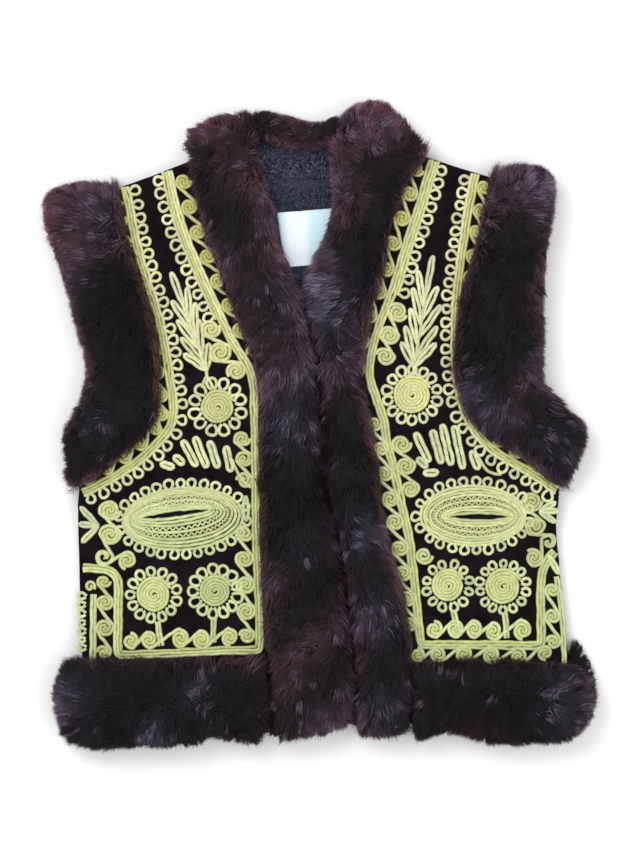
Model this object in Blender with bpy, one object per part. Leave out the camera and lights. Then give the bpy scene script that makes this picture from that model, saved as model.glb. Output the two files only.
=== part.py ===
"""Embroidered folk vest with deep fur trims, laid flat on its back.

+Z is up, +Y runs from hem to neck, and +X is the wearer's left. Tables are in millimetres.
Names ending in _right and _left are the wearer's sides.
The vest is a stack: back panel, boucle lining, then the two fronts with raised cord work on them.
Fur trims edge the fronts and neck, the armholes and the hem.
"""

import math

import bmesh
import bpy
from mathutils import Vector
from mathutils.bvhtree import BVHTree

MM = 0.001
SEAM_GAP = 0.35
CENTRE_GAP = 0.4

# Heights of the stack above the surface that the vest lies on.
CLOTH = 3.0
LINING_BASE = CLOTH + SEAM_GAP
LINING_TOP = LINING_BASE + CLOTH
LABEL_BASE = LINING_TOP + SEAM_GAP
LABEL_THICK = 1.0
POCKET_THICK = 1.4
TRIM_BASE = LABEL_BASE + LABEL_THICK + SEAM_GAP
FRONT_TOP = 12.4
HEM_SPLIT = 14.0
FRONT_TRIM_TOP = 42.0
HEM_CORNER_RISE = 4.0

# A front panel rises to the fur seams and drops at its folded side and shoulder.
RIM_RISE = 6.0
RIM_REACH = 34.0
FOLD_DROP = 1.8
FOLD_REACH = 7.0
WAVE = 0.7
WAVE_LENGTH = 95.0

ROWS_BETWEEN = 2
PANEL_COLUMNS = 9

# Cord work: raised on the panel, clear of it by CORD_GAP.
CORD_GAP = 0.7
CORD_RISE = 2.0
BAND_STEP = 11.0

# One row for each section across a front, from the hem up to the shoulder seam.
# CENTRE and NECK: the free edge of the front's fur, from its foot, two rows below the hem seam.
# Both fronts meet on CENTRE. SEAM: where panel and front fur meet.
# SIDE: the panel's side fold, then its armhole. Columns are x and y.
CENTRE_FOOT = {"right": (33, -282), "left": (33, -293)}
CENTRE_EDGE = [(34, -259), (34, -228), (31, -198), (27, -164), (21, -128), (14, -92), (8, -66),
               (6, -48), (5, -29), (2, -10), (1, 11), (1, 34), (-1, 58), (-6, 81), (-11, 104)]
NECK_EDGE_RIGHT = [(-18, 129), (-33, 157), (-40, 184), (-45, 209), (-50, 231), (-56, 251)]
NECK_EDGE_LEFT = [(-14, 129), (-8, 157), (7, 184), (12, 209), (11, 231), (10, 251)]
SEAM_RIGHT = [(-50, -228), (-50, -198), (-50, -164), (-51, -128), (-52, -92), (-53, -66), (-54, -48),
              (-54, -29), (-54, -10), (-54, 11), (-56, 34), (-58, 57), (-66, 78), (-74, 100),
              (-83, 123), (-94, 150), (-104, 178), (-112, 205), (-116, 228), (-122, 253)]
SEAM_LEFT = [(86, -228), (81, -198), (76, -164), (67, -128), (57, -92), (52, -66), (50, -48),
             (48, -29), (44, -10), (40, 11), (37, 34), (36, 57), (37, 78), (41, 100),
             (50, 125), (57, 152), (60, 180), (69, 207), (79, 231), (100, 257)]
SIDE_RIGHT = [(-226, -228), (-227, -198), (-227, -164), (-228, -128), (-230, -92), (-229, -59), (-212, -44),
              (-187, -28), (-165, -10), (-154, 11), (-152, 34), (-154, 57), (-159, 81), (-164, 104),
              (-170, 126), (-176, 152), (-184, 178), (-190, 203), (-192, 216), (-190, 228)]
SIDE_LEFT = [(236, -228), (235, -198), (231, -164), (228, -128), (225, -92), (228, -58), (215, -45),
             (194, -24), (176, -14), (157, -1), (142, 21), (135, 46), (134, 74), (137, 101),
             (141, 125), (147, 150), (154, 175), (158, 201), (162, 220), (166, 236)]
UNDERARM_ROW = 5

# The fur's outer edge and top height at each armhole section, from underarm to shoulder.
ARMHOLE_OUTER_RIGHT = [(-236, -60, 28), (-244, -52, 38), (-243, -35, 43), (-245, -17, 46), (-242, 7, 46),
                       (-228, 26, 44), (-222, 49, 46), (-227, 74, 45), (-234, 100, 46), (-239, 124, 47),
                       (-248, 150, 45), (-257, 175, 46), (-263, 203, 45), (-263, 218, 43), (-251, 228, 36)]
ARMHOLE_OUTER_LEFT = [(233, -59, 28), (240, -50, 38), (246, -35, 43), (253, -18, 46), (252, 5, 46),
                      (229, 25, 45), (214, 41, 44), (212, 72, 46), (214, 104, 45), (214, 127, 46),
                      (214, 152, 46), (218, 177, 45), (222, 202, 47), (226, 220, 45), (222, 237, 41)]
ARMHOLE_END_RIGHT = [((-196, 232), (-238, 231), 30)]
ARMHOLE_END_LEFT = [((170, 246), (215, 246), 36), ((182, 249), (205, 249), 28)]

# Below the hem seam the front fur lies on the back's hem fur: x, y of its outer side, and top.
FOOT_RIGHT = [(-53.9, -297, 42), (-52, -261, 47)]
FOOT_LEFT = [(88.4, -285, 42), (87, -261, 47)]

# The collar turns round the neck in fanned sections: inner x, y, outer x, y, and top.
COLLAR_TURN_RIGHT = [((-58, 262), (-132, 263), 42), ((-59, 266), (-131, 275), 41),
                     ((-59, 269), (-117, 285), 43), ((-58, 271), (-94, 294), 42),
                     ((-57, 272), (-67.1, 299), 38)]
COLLAR_TURN_LEFT = [((10, 258), (102, 267), 42), ((11, 263), (87, 277), 43), ((12, 266), (76, 292.5), 45),
                    ((13, 268), (57, 308), 45), ((14, 270), (34, 305), 42), ((15, 271), (18.3, 295), 36)]
COLLAR_BACK = [((-56.3, 272), (-66.4, 299), 30), ((-43, 270), (-48, 297), 34), ((-29, 268), (-31, 293), 32),
               ((-15, 266), (-17, 287), 30), ((1, 267), (-3, 286), 29), ((14, 270.6), (16, 293.3), 27)]

# Hem fur from the wearer's right to left: x, y of the seam edge and of the outer edge, and top.
# An end against the front fur has an x for each edge.
HEM_RIGHT = [(-254, -247, -266, 26), (-248, -231, -292, 40), (-238, -220.5, -303, 46),
             (-229.5, -225.5, -305, 48), (-227, -228.3, -306, 49), (-209, -228.3, -307, 50),
             (-190, -228.3, -306, 50), (-152, -228.3, -306, 48), (-129, -228.3, -304, 50),
             (-111, -228.3, -303, 47), (-105, -228.3, -293, 45), (-94, -228.3, -299, 48), (-72, -228.3, -302, 49)]
HEM_RIGHT_END = (-50.6, -54.7, -228.3, -302, 46)
HEM_LEFT = [(101, -228.3, -299, 47), (109, -228.3, -293, 46), (128, -228.3, -292, 49),
            (152, -228.3, -301, 48), (180, -228.3, -304, 50), (209, -228.3, -302, 48),
            (237, -228.3, -300, 49), (248, -229, -292, 46), (257, -238, -281, 40), (263, -250, -266, 28)]
HEM_LEFT_START = (86.6, 89.7, -228.3, -298, 46)
HEM_BACK = [(-251, -244, -268, 10), (-246, -231, -286, 13), (-238, -222, -296, 14),
            (-228, -228.3, -299, 14), (-190, -228.3, -300, 14), (-140, -228.3, -299, 14),
            (-105, -228.3, -288, 14), (-70, -228.3, -297, 14), (-35, -228.3, -296, 14), (5, -228.3, -283, 14),
            (45, -228.3, -292, 14), (75, -228.3, -286, 14), (110, -228.3, -288, 14), (150, -228.3, -295, 14),
            (190, -228.3, -297, 14), (225, -228.3, -296, 14), (237.5, -228.3, -294, 14),
            (240.5, -204, -291, 14), (249, -211, -284, 14), (257.5, -226, -272, 13), (262, -243, -262, 9)]

# Section profiles of the fur: across, 0 at the sewn or inner edge and 1 at the outer; up, 0 at the base.
# The fur's lip over the seam is across, past 1 or below 0.
FRONT_PROFILE = [(0, 0), (0.3, 0), (0.7, 0), (1, 0), (1, 0.38), (1.05, 0.52), (1.04, 0.64), (0.88, 0.86),
                 (0.66, 0.98), (0.4, 1), (0.2, 0.91), (0.06, 0.7), (0, 0.34)]
ARMHOLE_PROFILE = [(0, 0), (0.35, 0), (0.7, 0), (0.9, 0.02), (0.99, 0.14), (0.98, 0.25), (0.91, 0.33),
                   (0.98, 0.42), (1, 0.56), (0.95, 0.77), (0.8, 0.94), (0.55, 1), (0.28, 0.95), (0.05, 0.8),
                   (-0.05, 0.67), (-0.05, 0.58), (0, 0.5)]
HEM_PROFILE = [(0, 0), (0.4, 0), (0.75, 0), (0.93, 0.06), (1, 0.3), (0.98, 0.56), (0.86, 0.84), (0.62, 0.99),
               (0.36, 0.98), (0.06, 0.78), (-0.04, 0.52), (-0.03, 0.38), (0, 0.27)]
BACK_HEM_PROFILE = [(0, 0), (0.4, 0), (0.75, 0), (0.95, 0.0), (1, 0.4), (0.97, 0.8), (0.9, 1), (0.5, 1),
                    (0.1, 1), (0, 0.8)]
SPLIT_ACROSS = 0.38
# The armhole fur has no lip where it is lower than LIP_FROM, and its whole lip LIP_REACH above that.
LIP_FROM = 36.0
LIP_REACH = 8.0

# The back reaches out past the front at the wearer's right side by this much.
BACK_SIDE_SHOW = 2.5
FACING_LOWER_Y = 233.0
FACING_SIDES = (-100, 56)
FACING_SHOULDER_Y = 254.0
FACING_TURNS = ((-76, 262), (32, 264))
BACK_NECK = [(-90, 262), (-57.4, 271), (-43, 269.4), (-29, 267.4), (-15, 265.4), (1, 266.4), (14, 269.4),
             (60, 264)]
LABEL_CORNERS = [(-41, 204), (12, 208.5), (4, 155), (-34, 152)]

# Cord bands: a centre line and a width, from the shoulder down.
NECK_BAND_RIGHT = [(-143, 238), (-139, 216), (-133.5, 197), (-127, 178), (-119, 159), (-111, 140), (-102, 121),
                   (-93.5, 102), (-84.5, 83), (-75, 68), (-67, 54), (-63, 38), (-62.5, 16), (-61.5, -12),
                   (-61, -50), (-61, -80), (-60.5, -107), (-59, -145), (-57.5, -183), (-57, -204)]
ARMHOLE_BAND_RIGHT = [(-185, 224), (-182, 213), (-179, 195), (-175, 176), (-170.5, 158), (-165, 140),
                      (-159, 121), (-153, 102), (-149, 83), (-145.5, 64), (-143, 45), (-140, 26), (-140, 9),
                      (-145, -4), (-154, -15), (-165, -26), (-177, -36), (-191, -45), (-205, -53), (-219, -60)]
HEM_BAND_RIGHT = [(-65, -212), (-92, -214), (-122, -216), (-152, -217), (-183, -217)]
SIDE_BAND_RIGHT = [(-192.4, -211), (-192.4, -180), (-192.4, -155), (-193, -143)]
EDGE_BAND_RIGHT = [(-217, -218), (-217, -190), (-217, -168)]
NECK_BAND_LEFT = [(106, 250), (102, 235), (96.5, 216), (90.5, 197), (84, 178), (78, 159), (73, 140), (66, 121),
                  (58.5, 102), (52, 83), (48, 64), (47.5, 46), (53.5, 27), (60.5, 7), (63, -12), (68, -31),
                  (72.5, -50), (76.5, -69), (81, -88), (85, -107), (87, -126), (89.5, -145), (91.5, -164),
                  (93.5, -183), (94.5, -205)]
ARMHOLE_BAND_LEFT = [(146, 234), (143, 216), (139.5, 197), (137, 178), (134, 159), (132, 140), (130, 121),
                     (129, 102), (128.5, 78), (129.5, 55), (132, 36), (137, 17), (145, 0), (156, -14),
                     (170, -26), (185, -35), (199, -43), (213, -52), (219, -57)]
HEM_BAND_LEFT = [(101.5, -205), (130, -207), (158, -208.5), (186, -209.5), (212, -209)]
SIDE_BAND_LEFT = [(210.5, -202), (210.5, -180), (210.5, -155), (211.5, -140)]
EDGE_BAND_LEFT = [(230, -216), (228.5, -190), (226, -165), (223.5, -143)]
BANDS = [("neck_band_right", "right", NECK_BAND_RIGHT, 8.5), ("neck_band_left", "left", NECK_BAND_LEFT, 8.5),
         ("armhole_band_right", "right", ARMHOLE_BAND_RIGHT, 8.5),
         ("armhole_band_left", "left", ARMHOLE_BAND_LEFT, 7.5),
         ("hem_band_right", "right", HEM_BAND_RIGHT, 6.5), ("hem_band_left", "left", HEM_BAND_LEFT, 7.5),
         ("side_band_right", "right", SIDE_BAND_RIGHT, 10.0), ("side_band_left", "left", SIDE_BAND_LEFT, 8.0),
         ("edge_band_right", "right", EDGE_BAND_RIGHT, 7.5), ("edge_band_left", "left", EDGE_BAND_LEFT, 4.5)]

# Coiled flowers: name, side, centre, coil radius, petal radius, number of petals.
FLOWERS = [("flower_top_right", "right", (-97.4, 18.5), 17.5, 28.5, 12),
           ("flower_low_side_right", "right", (-157.2, -162), 18.5, 27.5, 13),
           ("flower_low_front_right", "right", (-101.2, -157.2), 17, 27.5, 12),
           ("flower_top_left", "left", (88, 30), 19.5, 28, 14),
           ("flower_low_front_left", "left", (123, -153.4), 17, 24.5, 12),
           ("flower_low_side_left", "left", (174.3, -155.3), 18.5, 26, 13)]

# Pocket surrounds: name, side, centre, half length, half width with petals, tilt in degrees.
POCKETS = [("pocket_welt_right", "right", (-130.6, -88), 62, 36, 4.0),
           ("pocket_welt_left", "left", (146, -85), 54, 36, 0.0)]
# Pocket slits by side: centre, half length, half width, tilt in degrees.
SLITS = {"right": ((-138.2, -83.5), 31, 1.95, 7.0), "left": ((151.5, -86), 26, 1.7, 0.0)}
WELT_PETALS = 26

# The pocket bag in plan: how far it reaches above the slit, below it, to each side, and its corners' cut.
POCKET_ABOVE = 9.0
POCKET_DEEP = 92.0
POCKET_HALF_WIDTH = 46.0
POCKET_CORNER = 12.0

# Leaf sprays: name, side, foot, tip, width at the widest pair and number of pairs.
SPRAYS = [("leaf_spray_right", "right", (-109, 51), (-141.5, 146), 26, 5),
          ("leaf_spray_left", "left", (89, 60), (107, 160), 31, 5)]

# Finger combs: name, side, then x, y of each finger's foot and tip.
COMBS = [("finger_comb_right", "right", [((-136.3, -40.4), (-149.6, -32.8)), ((-124, -38), (-139.2, -26.5)),
                                         ((-113.5, -39.5), (-129.7, -14.7)), ((-103.1, -40.4), (-118.3, -10)),
                                         ((-92.6, -41.4), (-104, -12.8)), ((-80.3, -43.2), (-89.8, -18.5))]),
         ("finger_comb_left", "left", [((107.8, -34.8), (91.7, -6.2)), ((116.8, -35.7), (106.9, -4.3)),
                                       ((126.2, -36.6), (117.3, 0.5)), ((136.4, -37.6), (129.7, -1.4)),
                                       ((148.7, -39.4), (143.9, -23.3))])]
FINGER_WIDTH = 6.5

COLOURS = {  # name: red, green, blue, roughness
    "velvet": (0.016, 0.010, 0.015, 0.9),
    "lining": (0.036, 0.042, 0.062, 1.0),
    "fur": (0.024, 0.014, 0.021, 0.8),
    "cord": (0.66, 0.70, 0.29, 0.5),
    "satin": (0.82, 0.95, 0.97, 0.35),
    "pocketing": (0.010, 0.009, 0.011, 0.95),
}


def clear_scene():
    for obj in list(bpy.data.objects):
        bpy.data.objects.remove(obj)


def material(name):
    found = bpy.data.materials.get(name)
    if found is None:
        found = bpy.data.materials.new(name)
        found.use_nodes = True
        red, green, blue, roughness = COLOURS[name]
        shader = found.node_tree.nodes["Principled BSDF"]
        shader.inputs["Base Color"].default_value = (red, green, blue, 1.0)
        shader.inputs["Roughness"].default_value = roughness
    return found


def solid(name, points, faces, finish, smooth=True):
    """One closed object from points in millimetres, with its faces turned outwards."""
    mesh = bpy.data.meshes.new(name)
    mesh.from_pydata([[value * MM for value in point] for point in points], [], faces)
    shape = bmesh.new()
    shape.from_mesh(mesh)
    bmesh.ops.recalc_face_normals(shape, faces=shape.faces)
    shape.to_mesh(mesh)
    shape.free()
    if smooth:
        mesh.shade_smooth()
        mesh.set_sharp_from_angle(angle=math.radians(50))
    obj = bpy.data.objects.new(name, mesh)
    obj.data.materials.append(material(finish))
    bpy.context.scene.collection.objects.link(obj)
    return obj


def catmull(a, b, c, d, t):
    """The value at t between b and c on the smooth curve through a, b, c and d."""
    return 0.5 * (2 * b + (c - a) * t + (2 * a - 5 * b + 4 * c - d) * t * t + (3 * b - a - 3 * c + d) * t ** 3)


def smooth_rows(rows, steps=ROWS_BETWEEN):
    """The rows with steps - 1 more between each two, on the smooth curve of each column."""
    made = []
    for i in range(len(rows) - 1):
        before, here = rows[max(i - 1, 0)], rows[i]
        there, after = rows[i + 1], rows[min(i + 2, len(rows) - 1)]
        for k in range(steps):
            made.append(tuple(catmull(*column, k / steps) for column in zip(before, here, there, after)))
    made.append(tuple(rows[-1]))
    return made


def along(points, step):
    """Points about step apart on the smooth curve through points."""
    made = []
    for i in range(len(points) - 1):
        span = math.dist(points[i], points[i + 1])
        count = max(1, round(span / step))
        before, after = points[max(i - 1, 0)], points[min(i + 2, len(points) - 1)]
        for k in range(count):
            made.append(tuple(catmull(*column, k / count)
                              for column in zip(before, points[i], points[i + 1], after)))
    made.append(tuple(points[-1]))
    return made


def distance_to(line, x, y):
    """The shortest distance from a point to a line of points in plan."""
    best = 1e9
    for (ax, ay), (bx, by) in zip(line, line[1:]):
        dx, dy = bx - ax, by - ay
        share = ((x - ax) * dx + (y - ay) * dy) / (dx * dx + dy * dy)
        share = min(1.0, max(0.0, share))
        best = min(best, math.hypot(x - ax - share * dx, y - ay - share * dy))
    return best


def shifted(line, amount):
    """The line moved sideways by amount, to the left of its direction."""
    made = []
    for i, (x, y) in enumerate(line):
        ahead, behind = line[min(i + 1, len(line) - 1)], line[max(i - 1, 0)]
        run = math.dist(ahead, behind)
        made.append((x - (ahead[1] - behind[1]) / run * amount, y + (ahead[0] - behind[0]) / run * amount))
    return made


class Front:
    """One front: its edges in plan, refined from the tables, and the height of its outer face."""

    def __init__(self, side):
        right = side == "right"
        self.side = side
        self.away = -1 if right else 1
        neck = NECK_EDGE_RIGHT if right else NECK_EDGE_LEFT
        self.free = [(x + CENTRE_GAP * self.away, y) for x, y in [CENTRE_FOOT[side]] + CENTRE_EDGE] + neck
        self.seam = smooth_rows(SEAM_RIGHT if right else SEAM_LEFT)
        self.side_edge = smooth_rows(SIDE_RIGHT if right else SIDE_LEFT)
        underarm = UNDERARM_ROW * ROWS_BETWEEN
        self.fold = self.side_edge[:underarm + 1]
        self.armhole = self.side_edge[underarm:]
        self.sewn_armhole = shifted(self.armhole, SEAM_GAP * self.away)
        self.sewn_seam = shifted(self.seam, -SEAM_GAP * self.away)
        self.hem = [self.seam[0], self.side_edge[0]]
        self.shoulder = [self.seam[-1], self.side_edge[-1]]

    def height(self, x, y):
        """The height of the outer face: raised at the fur seams, lowered at the folds."""
        flat = 1.0
        for seam in (self.seam, self.armhole, self.hem):
            flat *= 1 - math.exp(-(distance_to(seam, x, y) / RIM_REACH) ** 2)
        fold = 0.0
        for edge in (self.fold, self.shoulder):
            fold = max(fold, math.exp(-(distance_to(edge, x, y) / FOLD_REACH) ** 2))
        wave = WAVE * math.sin(2 * math.pi * (0.35 * x + y) / WAVE_LENGTH) * flat
        return FRONT_TOP + RIM_RISE * (1 - flat) + wave - FOLD_DROP * fold * flat


def front_panel(front, slit):
    """The quilted front, a grid wall between the front seam and the side, cut by the pocket slit."""
    across = [0.5 - 0.5 * math.cos(math.pi * k / PANEL_COLUMNS) for k in range(PANEL_COLUMNS + 1)]
    upper, lower = [], []
    for start, end in zip(front.sewn_seam, front.fold[:-1] + front.sewn_armhole):
        for share in across:
            x = start[0] + (end[0] - start[0]) * share
            y = start[1] + (end[1] - start[1]) * share
            top = front.height(x, y)
            upper.append((x, y, top))
            lower.append((x, y, top - CLOTH))
    obj = grid_wall(f"front_{front.side}", upper, lower, len(across), "velvet")
    corners = [vertex.co.copy() for vertex in obj.data.vertices]
    tree = BVHTree.FromPolygons(corners, [tuple(face.vertices) for face in obj.data.polygons])
    cut(obj, slit)
    return tree


def grid_wall(name, upper, lower, columns, finish):
    """A wall between an upper and a lower grid of points with the same rows and columns."""
    rows = len(upper) // columns
    base = len(upper)
    faces = []
    for i in range(rows - 1):
        for j in range(columns - 1):
            a = i * columns + j
            faces.append((a, a + 1, a + 1 + columns, a + columns))
            faces.append((base + a, base + a + columns, base + a + 1 + columns, base + a + 1))
    rim = list(range(columns))
    rim += [i * columns + columns - 1 for i in range(1, rows)]
    rim += [(rows - 1) * columns + j for j in range(columns - 2, -1, -1)]
    rim += [i * columns for i in range(rows - 2, 0, -1)]
    for a, b in zip(rim, rim[1:] + rim[:1]):
        faces.append((a, base + a, base + b, b))
    return solid(name, upper + lower, faces, finish)


def cut(obj, cutter):
    modifier = obj.modifiers.new("slit", "BOOLEAN")
    modifier.operation = "DIFFERENCE"
    modifier.object = cutter


def ellipse(centre, half_long, half_wide, tilt, count):
    """Points round a tilted ellipse in plan."""
    turn = math.radians(tilt)
    made = []
    for k in range(count):
        angle = 2 * math.pi * k / count
        u, v = half_long * math.cos(angle), half_wide * math.sin(angle)
        made.append((centre[0] + u * math.cos(turn) - v * math.sin(turn),
                     centre[1] + u * math.sin(turn) + v * math.cos(turn)))
    return made


def slit_cutter(name, centre, half_long, half_wide, tilt):
    """A tall elliptical prism that cuts the pocket slit."""
    ring = ellipse(centre, half_long, half_wide, tilt, 20)
    count = len(ring)
    low, high = LINING_TOP, FRONT_TOP + 20
    points = [(x, y, low) for x, y in ring] + [(x, y, high) for x, y in ring]
    faces = [tuple(range(count)), tuple(range(count, 2 * count))]
    faces += [(k, (k + 1) % count, count + (k + 1) % count, count + k) for k in range(count)]
    cutter = solid(name, points, faces, "velvet", smooth=False)
    cutter.hide_render = True
    cutter.display_type = "WIRE"
    return cutter


def loft(name, rings, finish):
    """A closed solid through rings of equal counts, capped at both ends."""
    count = len(rings[0])
    points = [point for ring in rings for point in ring]
    faces = [tuple(range(count)), tuple(range(len(points) - count, len(points)))]
    for i in range(len(rings) - 1):
        for k in range(count):
            a, b = i * count + k, i * count + (k + 1) % count
            faces.append((a, b, b + count, a + count))
    return solid(name, points, faces, finish)


def fur_ring(inner, outer, base, outer_base, top, profile, lip=1.0):
    """One section of fur over the line from inner to outer in plan, with a share of the profile's lip."""
    ring = []
    for across, up in profile:
        beyond = across - min(1.0, max(0.0, across))
        across += beyond * (lip - 1)
        low = base if across < SPLIT_ACROSS else outer_base
        ring.append((inner[0] + (outer[0] - inner[0]) * across, inner[1] + (outer[1] - inner[1]) * across,
                     low + (top - low) * up))
    return ring


def rounded_end(ring, beyond, shrink=0.62):
    """A smaller ring past the last one, so that the fur ends in a rounded face."""
    count = len(ring)
    middle = [sum(point[k] for point in ring) / count for k in range(3)]
    shift = (*beyond, 0)
    return [tuple(middle[k] + (point[k] - middle[k]) * shrink + shift[k] for k in range(3)) for point in ring]


def lump(index, seed):
    """A slow rise and fall of the fur's height from section to section."""
    return 1.8 * math.sin(0.83 * index + seed) + 1.2 * math.sin(1.9 * index + 2.3 * seed)


def front_trim(front, foot, turn):
    """The fur from the hem up the centre front and round the neck."""
    seam_rows = SEAM_RIGHT if front.side == "right" else SEAM_LEFT
    outers = [(x, y) for x, y, _ in foot] + seam_rows + [outer for _, outer, _ in turn]
    inners = front.free + [inner for inner, _, _ in turn]
    tops = [top for _, _, top in foot] + [FRONT_TRIM_TOP + HEM_CORNER_RISE]
    tops += [FRONT_TRIM_TOP] * (len(seam_rows) - 1)
    tops += [top for _, _, top in turn]
    first = len(foot)
    inner_bases = [HEM_SPLIT + SEAM_GAP] * (first + 1) + [TRIM_BASE] * (len(inners) - first - 1)
    outer_bases = inner_bases[:-len(turn) + 1] + [0.0] * (len(turn) - 1)
    rows = straight_heights(list(zip(inners, outers, zip(inner_bases, outer_bases, tops))))
    rings = []
    for i, (inner, outer, (base, outer_base, top)) in enumerate(rows):
        sewn = i - first * ROWS_BETWEEN
        if 0 <= sewn < len(front.seam):
            outer = front.seam[sewn]
        rings.append(fur_ring(inner, outer, base, outer_base, top + lump(i, front.away), FRONT_PROFILE,
                              lip=min(1.0, max(0.0, sewn / ROWS_BETWEEN))))
    rings.insert(0, rounded_end(rings[0], (0, -5)))
    return loft(f"front_trim_{front.side}", rings, "fur")


def straight_heights(rows):
    """Rows of inner, outer and heights, refined: the plan on smooth curves, the heights on straight lines."""
    inners = smooth_rows([row[0] for row in rows])
    outers = smooth_rows([row[1] for row in rows])
    made = []
    for i, (inner, outer) in enumerate(zip(inners, outers)):
        low, share = divmod(i, ROWS_BETWEEN)
        high = min(low + 1, len(rows) - 1)
        heights = [a + (b - a) * share / ROWS_BETWEEN for a, b in zip(rows[low][2], rows[high][2])]
        made.append((inner, outer, heights))
    return made


def armhole_trim(front, outer, ends):
    """The fur round an armhole, its front and back halves laid together with a groove between them."""
    seam_rows = (SIDE_RIGHT if front.side == "right" else SIDE_LEFT)[UNDERARM_ROW:]
    rows = straight_heights([(seam, (x, y), (top,)) for seam, (x, y, top) in zip(seam_rows, outer)])
    rings = []
    for i, (inner, (_, far, (top,))) in enumerate(zip(front.armhole, rows)):
        top += lump(i, 2.0 + front.away)
        lip = min(1.0, max(0.0, (top - LIP_FROM) / LIP_REACH))
        rings.append(fur_ring(inner, far, 0.0, 0.0, top, ARMHOLE_PROFILE, lip))
    for inner, far, top in ends:
        rings.append(fur_ring(inner, far, 0.0, 0.0, top, ARMHOLE_PROFILE, lip=0.0))
    rings.insert(0, rounded_end(rings[0], (1.0 * front.away, -2.5)))
    return loft(f"armhole_trim_{front.side}", rings, "fur")


def hem_trim(name, rows, base, profile):
    """A stretch of hem fur through upright sections from one side to the other."""
    rings = []
    for i, row in enumerate(rows):
        inner_x, outer_x, inner_y, outer_y, top = row if len(row) == 5 else (row[0], *row)
        lift = lump(i, base) if base else 0.0
        lip = 0.0 if i in (0, len(rows) - 1) or len(row) == 5 else 1.0
        rings.append(fur_ring((inner_x, inner_y), (outer_x, outer_y), base, base, top + lift, profile, lip))
    return loft(name, rings, "fur")


def collar_back():
    rings = [fur_ring(inner, outer, 0.0, 0.0, top, FRONT_PROFILE) for inner, outer, top in COLLAR_BACK]
    return loft("collar_back", rings, "fur")


def plate(name, outline, base, top, finish):
    """A flat cloth wall of any outline."""
    count = len(outline)
    points = [(x, y, base) for x, y in outline] + [(x, y, top) for x, y in outline]
    faces = [tuple(range(count)), tuple(range(count, 2 * count))]
    faces += [(k, (k + 1) % count, count + (k + 1) % count, count + k) for k in range(count)]
    return solid(name, points, faces, finish)


def back_outline(fronts, inset, show):
    """The back in plan, up the wearer's right side, across the neck and down the left."""
    right, left = fronts["right"], fronts["left"]
    last = len(right.fold) - 1
    bulge = [show * math.sin(math.pi * i / last) for i in range(last)]
    outline = [(x - more + inset, y) for (x, y), more in zip(right.fold, bulge)]
    outline += shifted(right.sewn_armhole, -inset)
    outline.append((right.seam[-1][0], right.seam[-1][1] - inset - 1.0))
    outline += [(x, y - inset) for x, y in BACK_NECK]
    outline.append((left.seam[-1][0], left.seam[-1][1] - inset - 1.0))
    outline += shifted(left.sewn_armhole, inset)[::-1]
    outline += [(x - inset, y) for x, y in left.fold[-2::-1]]
    return outline


def back_and_lining(fronts):
    """The plain back, its boucle lining, the neck facing above it and the label."""
    outline = back_outline(fronts, 0.0, BACK_SIDE_SHOW)
    plate("back", outline, 0.0, CLOTH, "velvet")
    inner = back_outline(fronts, 3.0, 0.0)
    lining = [(x, min(y, FACING_LOWER_Y - SEAM_GAP)) for x, y in inner]
    lining = [point for k, point in enumerate(lining)
              if not (point[1] == FACING_LOWER_Y - SEAM_GAP and lining[k - 1][1] == point[1]
                      and lining[(k + 1) % len(lining)][1] == point[1])]
    plate("lining", lining, LINING_BASE, LINING_TOP, "lining")
    west, east = FACING_SIDES
    neck = [(x, y - 1.0) for x, y in BACK_NECK[1:-1]]
    facing = [(west, FACING_LOWER_Y), (west, FACING_SHOULDER_Y), FACING_TURNS[0], *neck]
    facing += [FACING_TURNS[1], (east, FACING_SHOULDER_Y), (east, FACING_LOWER_Y)]
    plate("neck_facing", facing, LINING_BASE, LINING_TOP, "lining")
    plate("label", LABEL_CORNERS, LABEL_BASE, LABEL_BASE + LABEL_THICK, "satin")


def surface(tree, x, y):
    """The height of a front panel's outer face at a point in plan, read from the panel itself."""
    hit = tree.ray_cast(Vector((x * MM, y * MM, 1.0)), Vector((0, 0, -1)))[0]
    return hit.z / MM


def raised(tree, x, y, rise):
    return (x, y, surface(tree, x, y) + CORD_GAP + rise)


def cord_band(name, tree, line, width):
    """A band of cords laid side by side: a low domed ribbon on the panel."""
    section = [(-0.5, 0.0), (0.5, 0.0), (0.42, CORD_RISE * 0.9), (0.0, CORD_RISE), (-0.42, CORD_RISE * 0.9)]
    points = along(line, BAND_STEP)
    rings = []
    for i, (x, y) in enumerate(points):
        ahead, behind = points[min(i + 1, len(points) - 1)], points[max(i - 1, 0)]
        run = math.dist(ahead, behind)
        across = (-(ahead[1] - behind[1]) / run, (ahead[0] - behind[0]) / run)
        rings.append([raised(tree, x + across[0] * width * u, y + across[1] * width * u, rise)
                      for u, rise in section])
    return loft(name, rings, "cord")


def stacked(tree, rings):
    """Points and side faces through rings of equal counts, each a rise and a line on the panel."""
    count = len(rings[0][1])
    points, faces = [], []
    for rise, ring in rings:
        points += [raised(tree, x, y, rise) for x, y in ring]
    for i in range(len(rings) - 1):
        for k in range(count):
            a, b = i * count + k, i * count + (k + 1) % count
            faces.append((a, b, b + count, a + count))
    return points, faces, count


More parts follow.
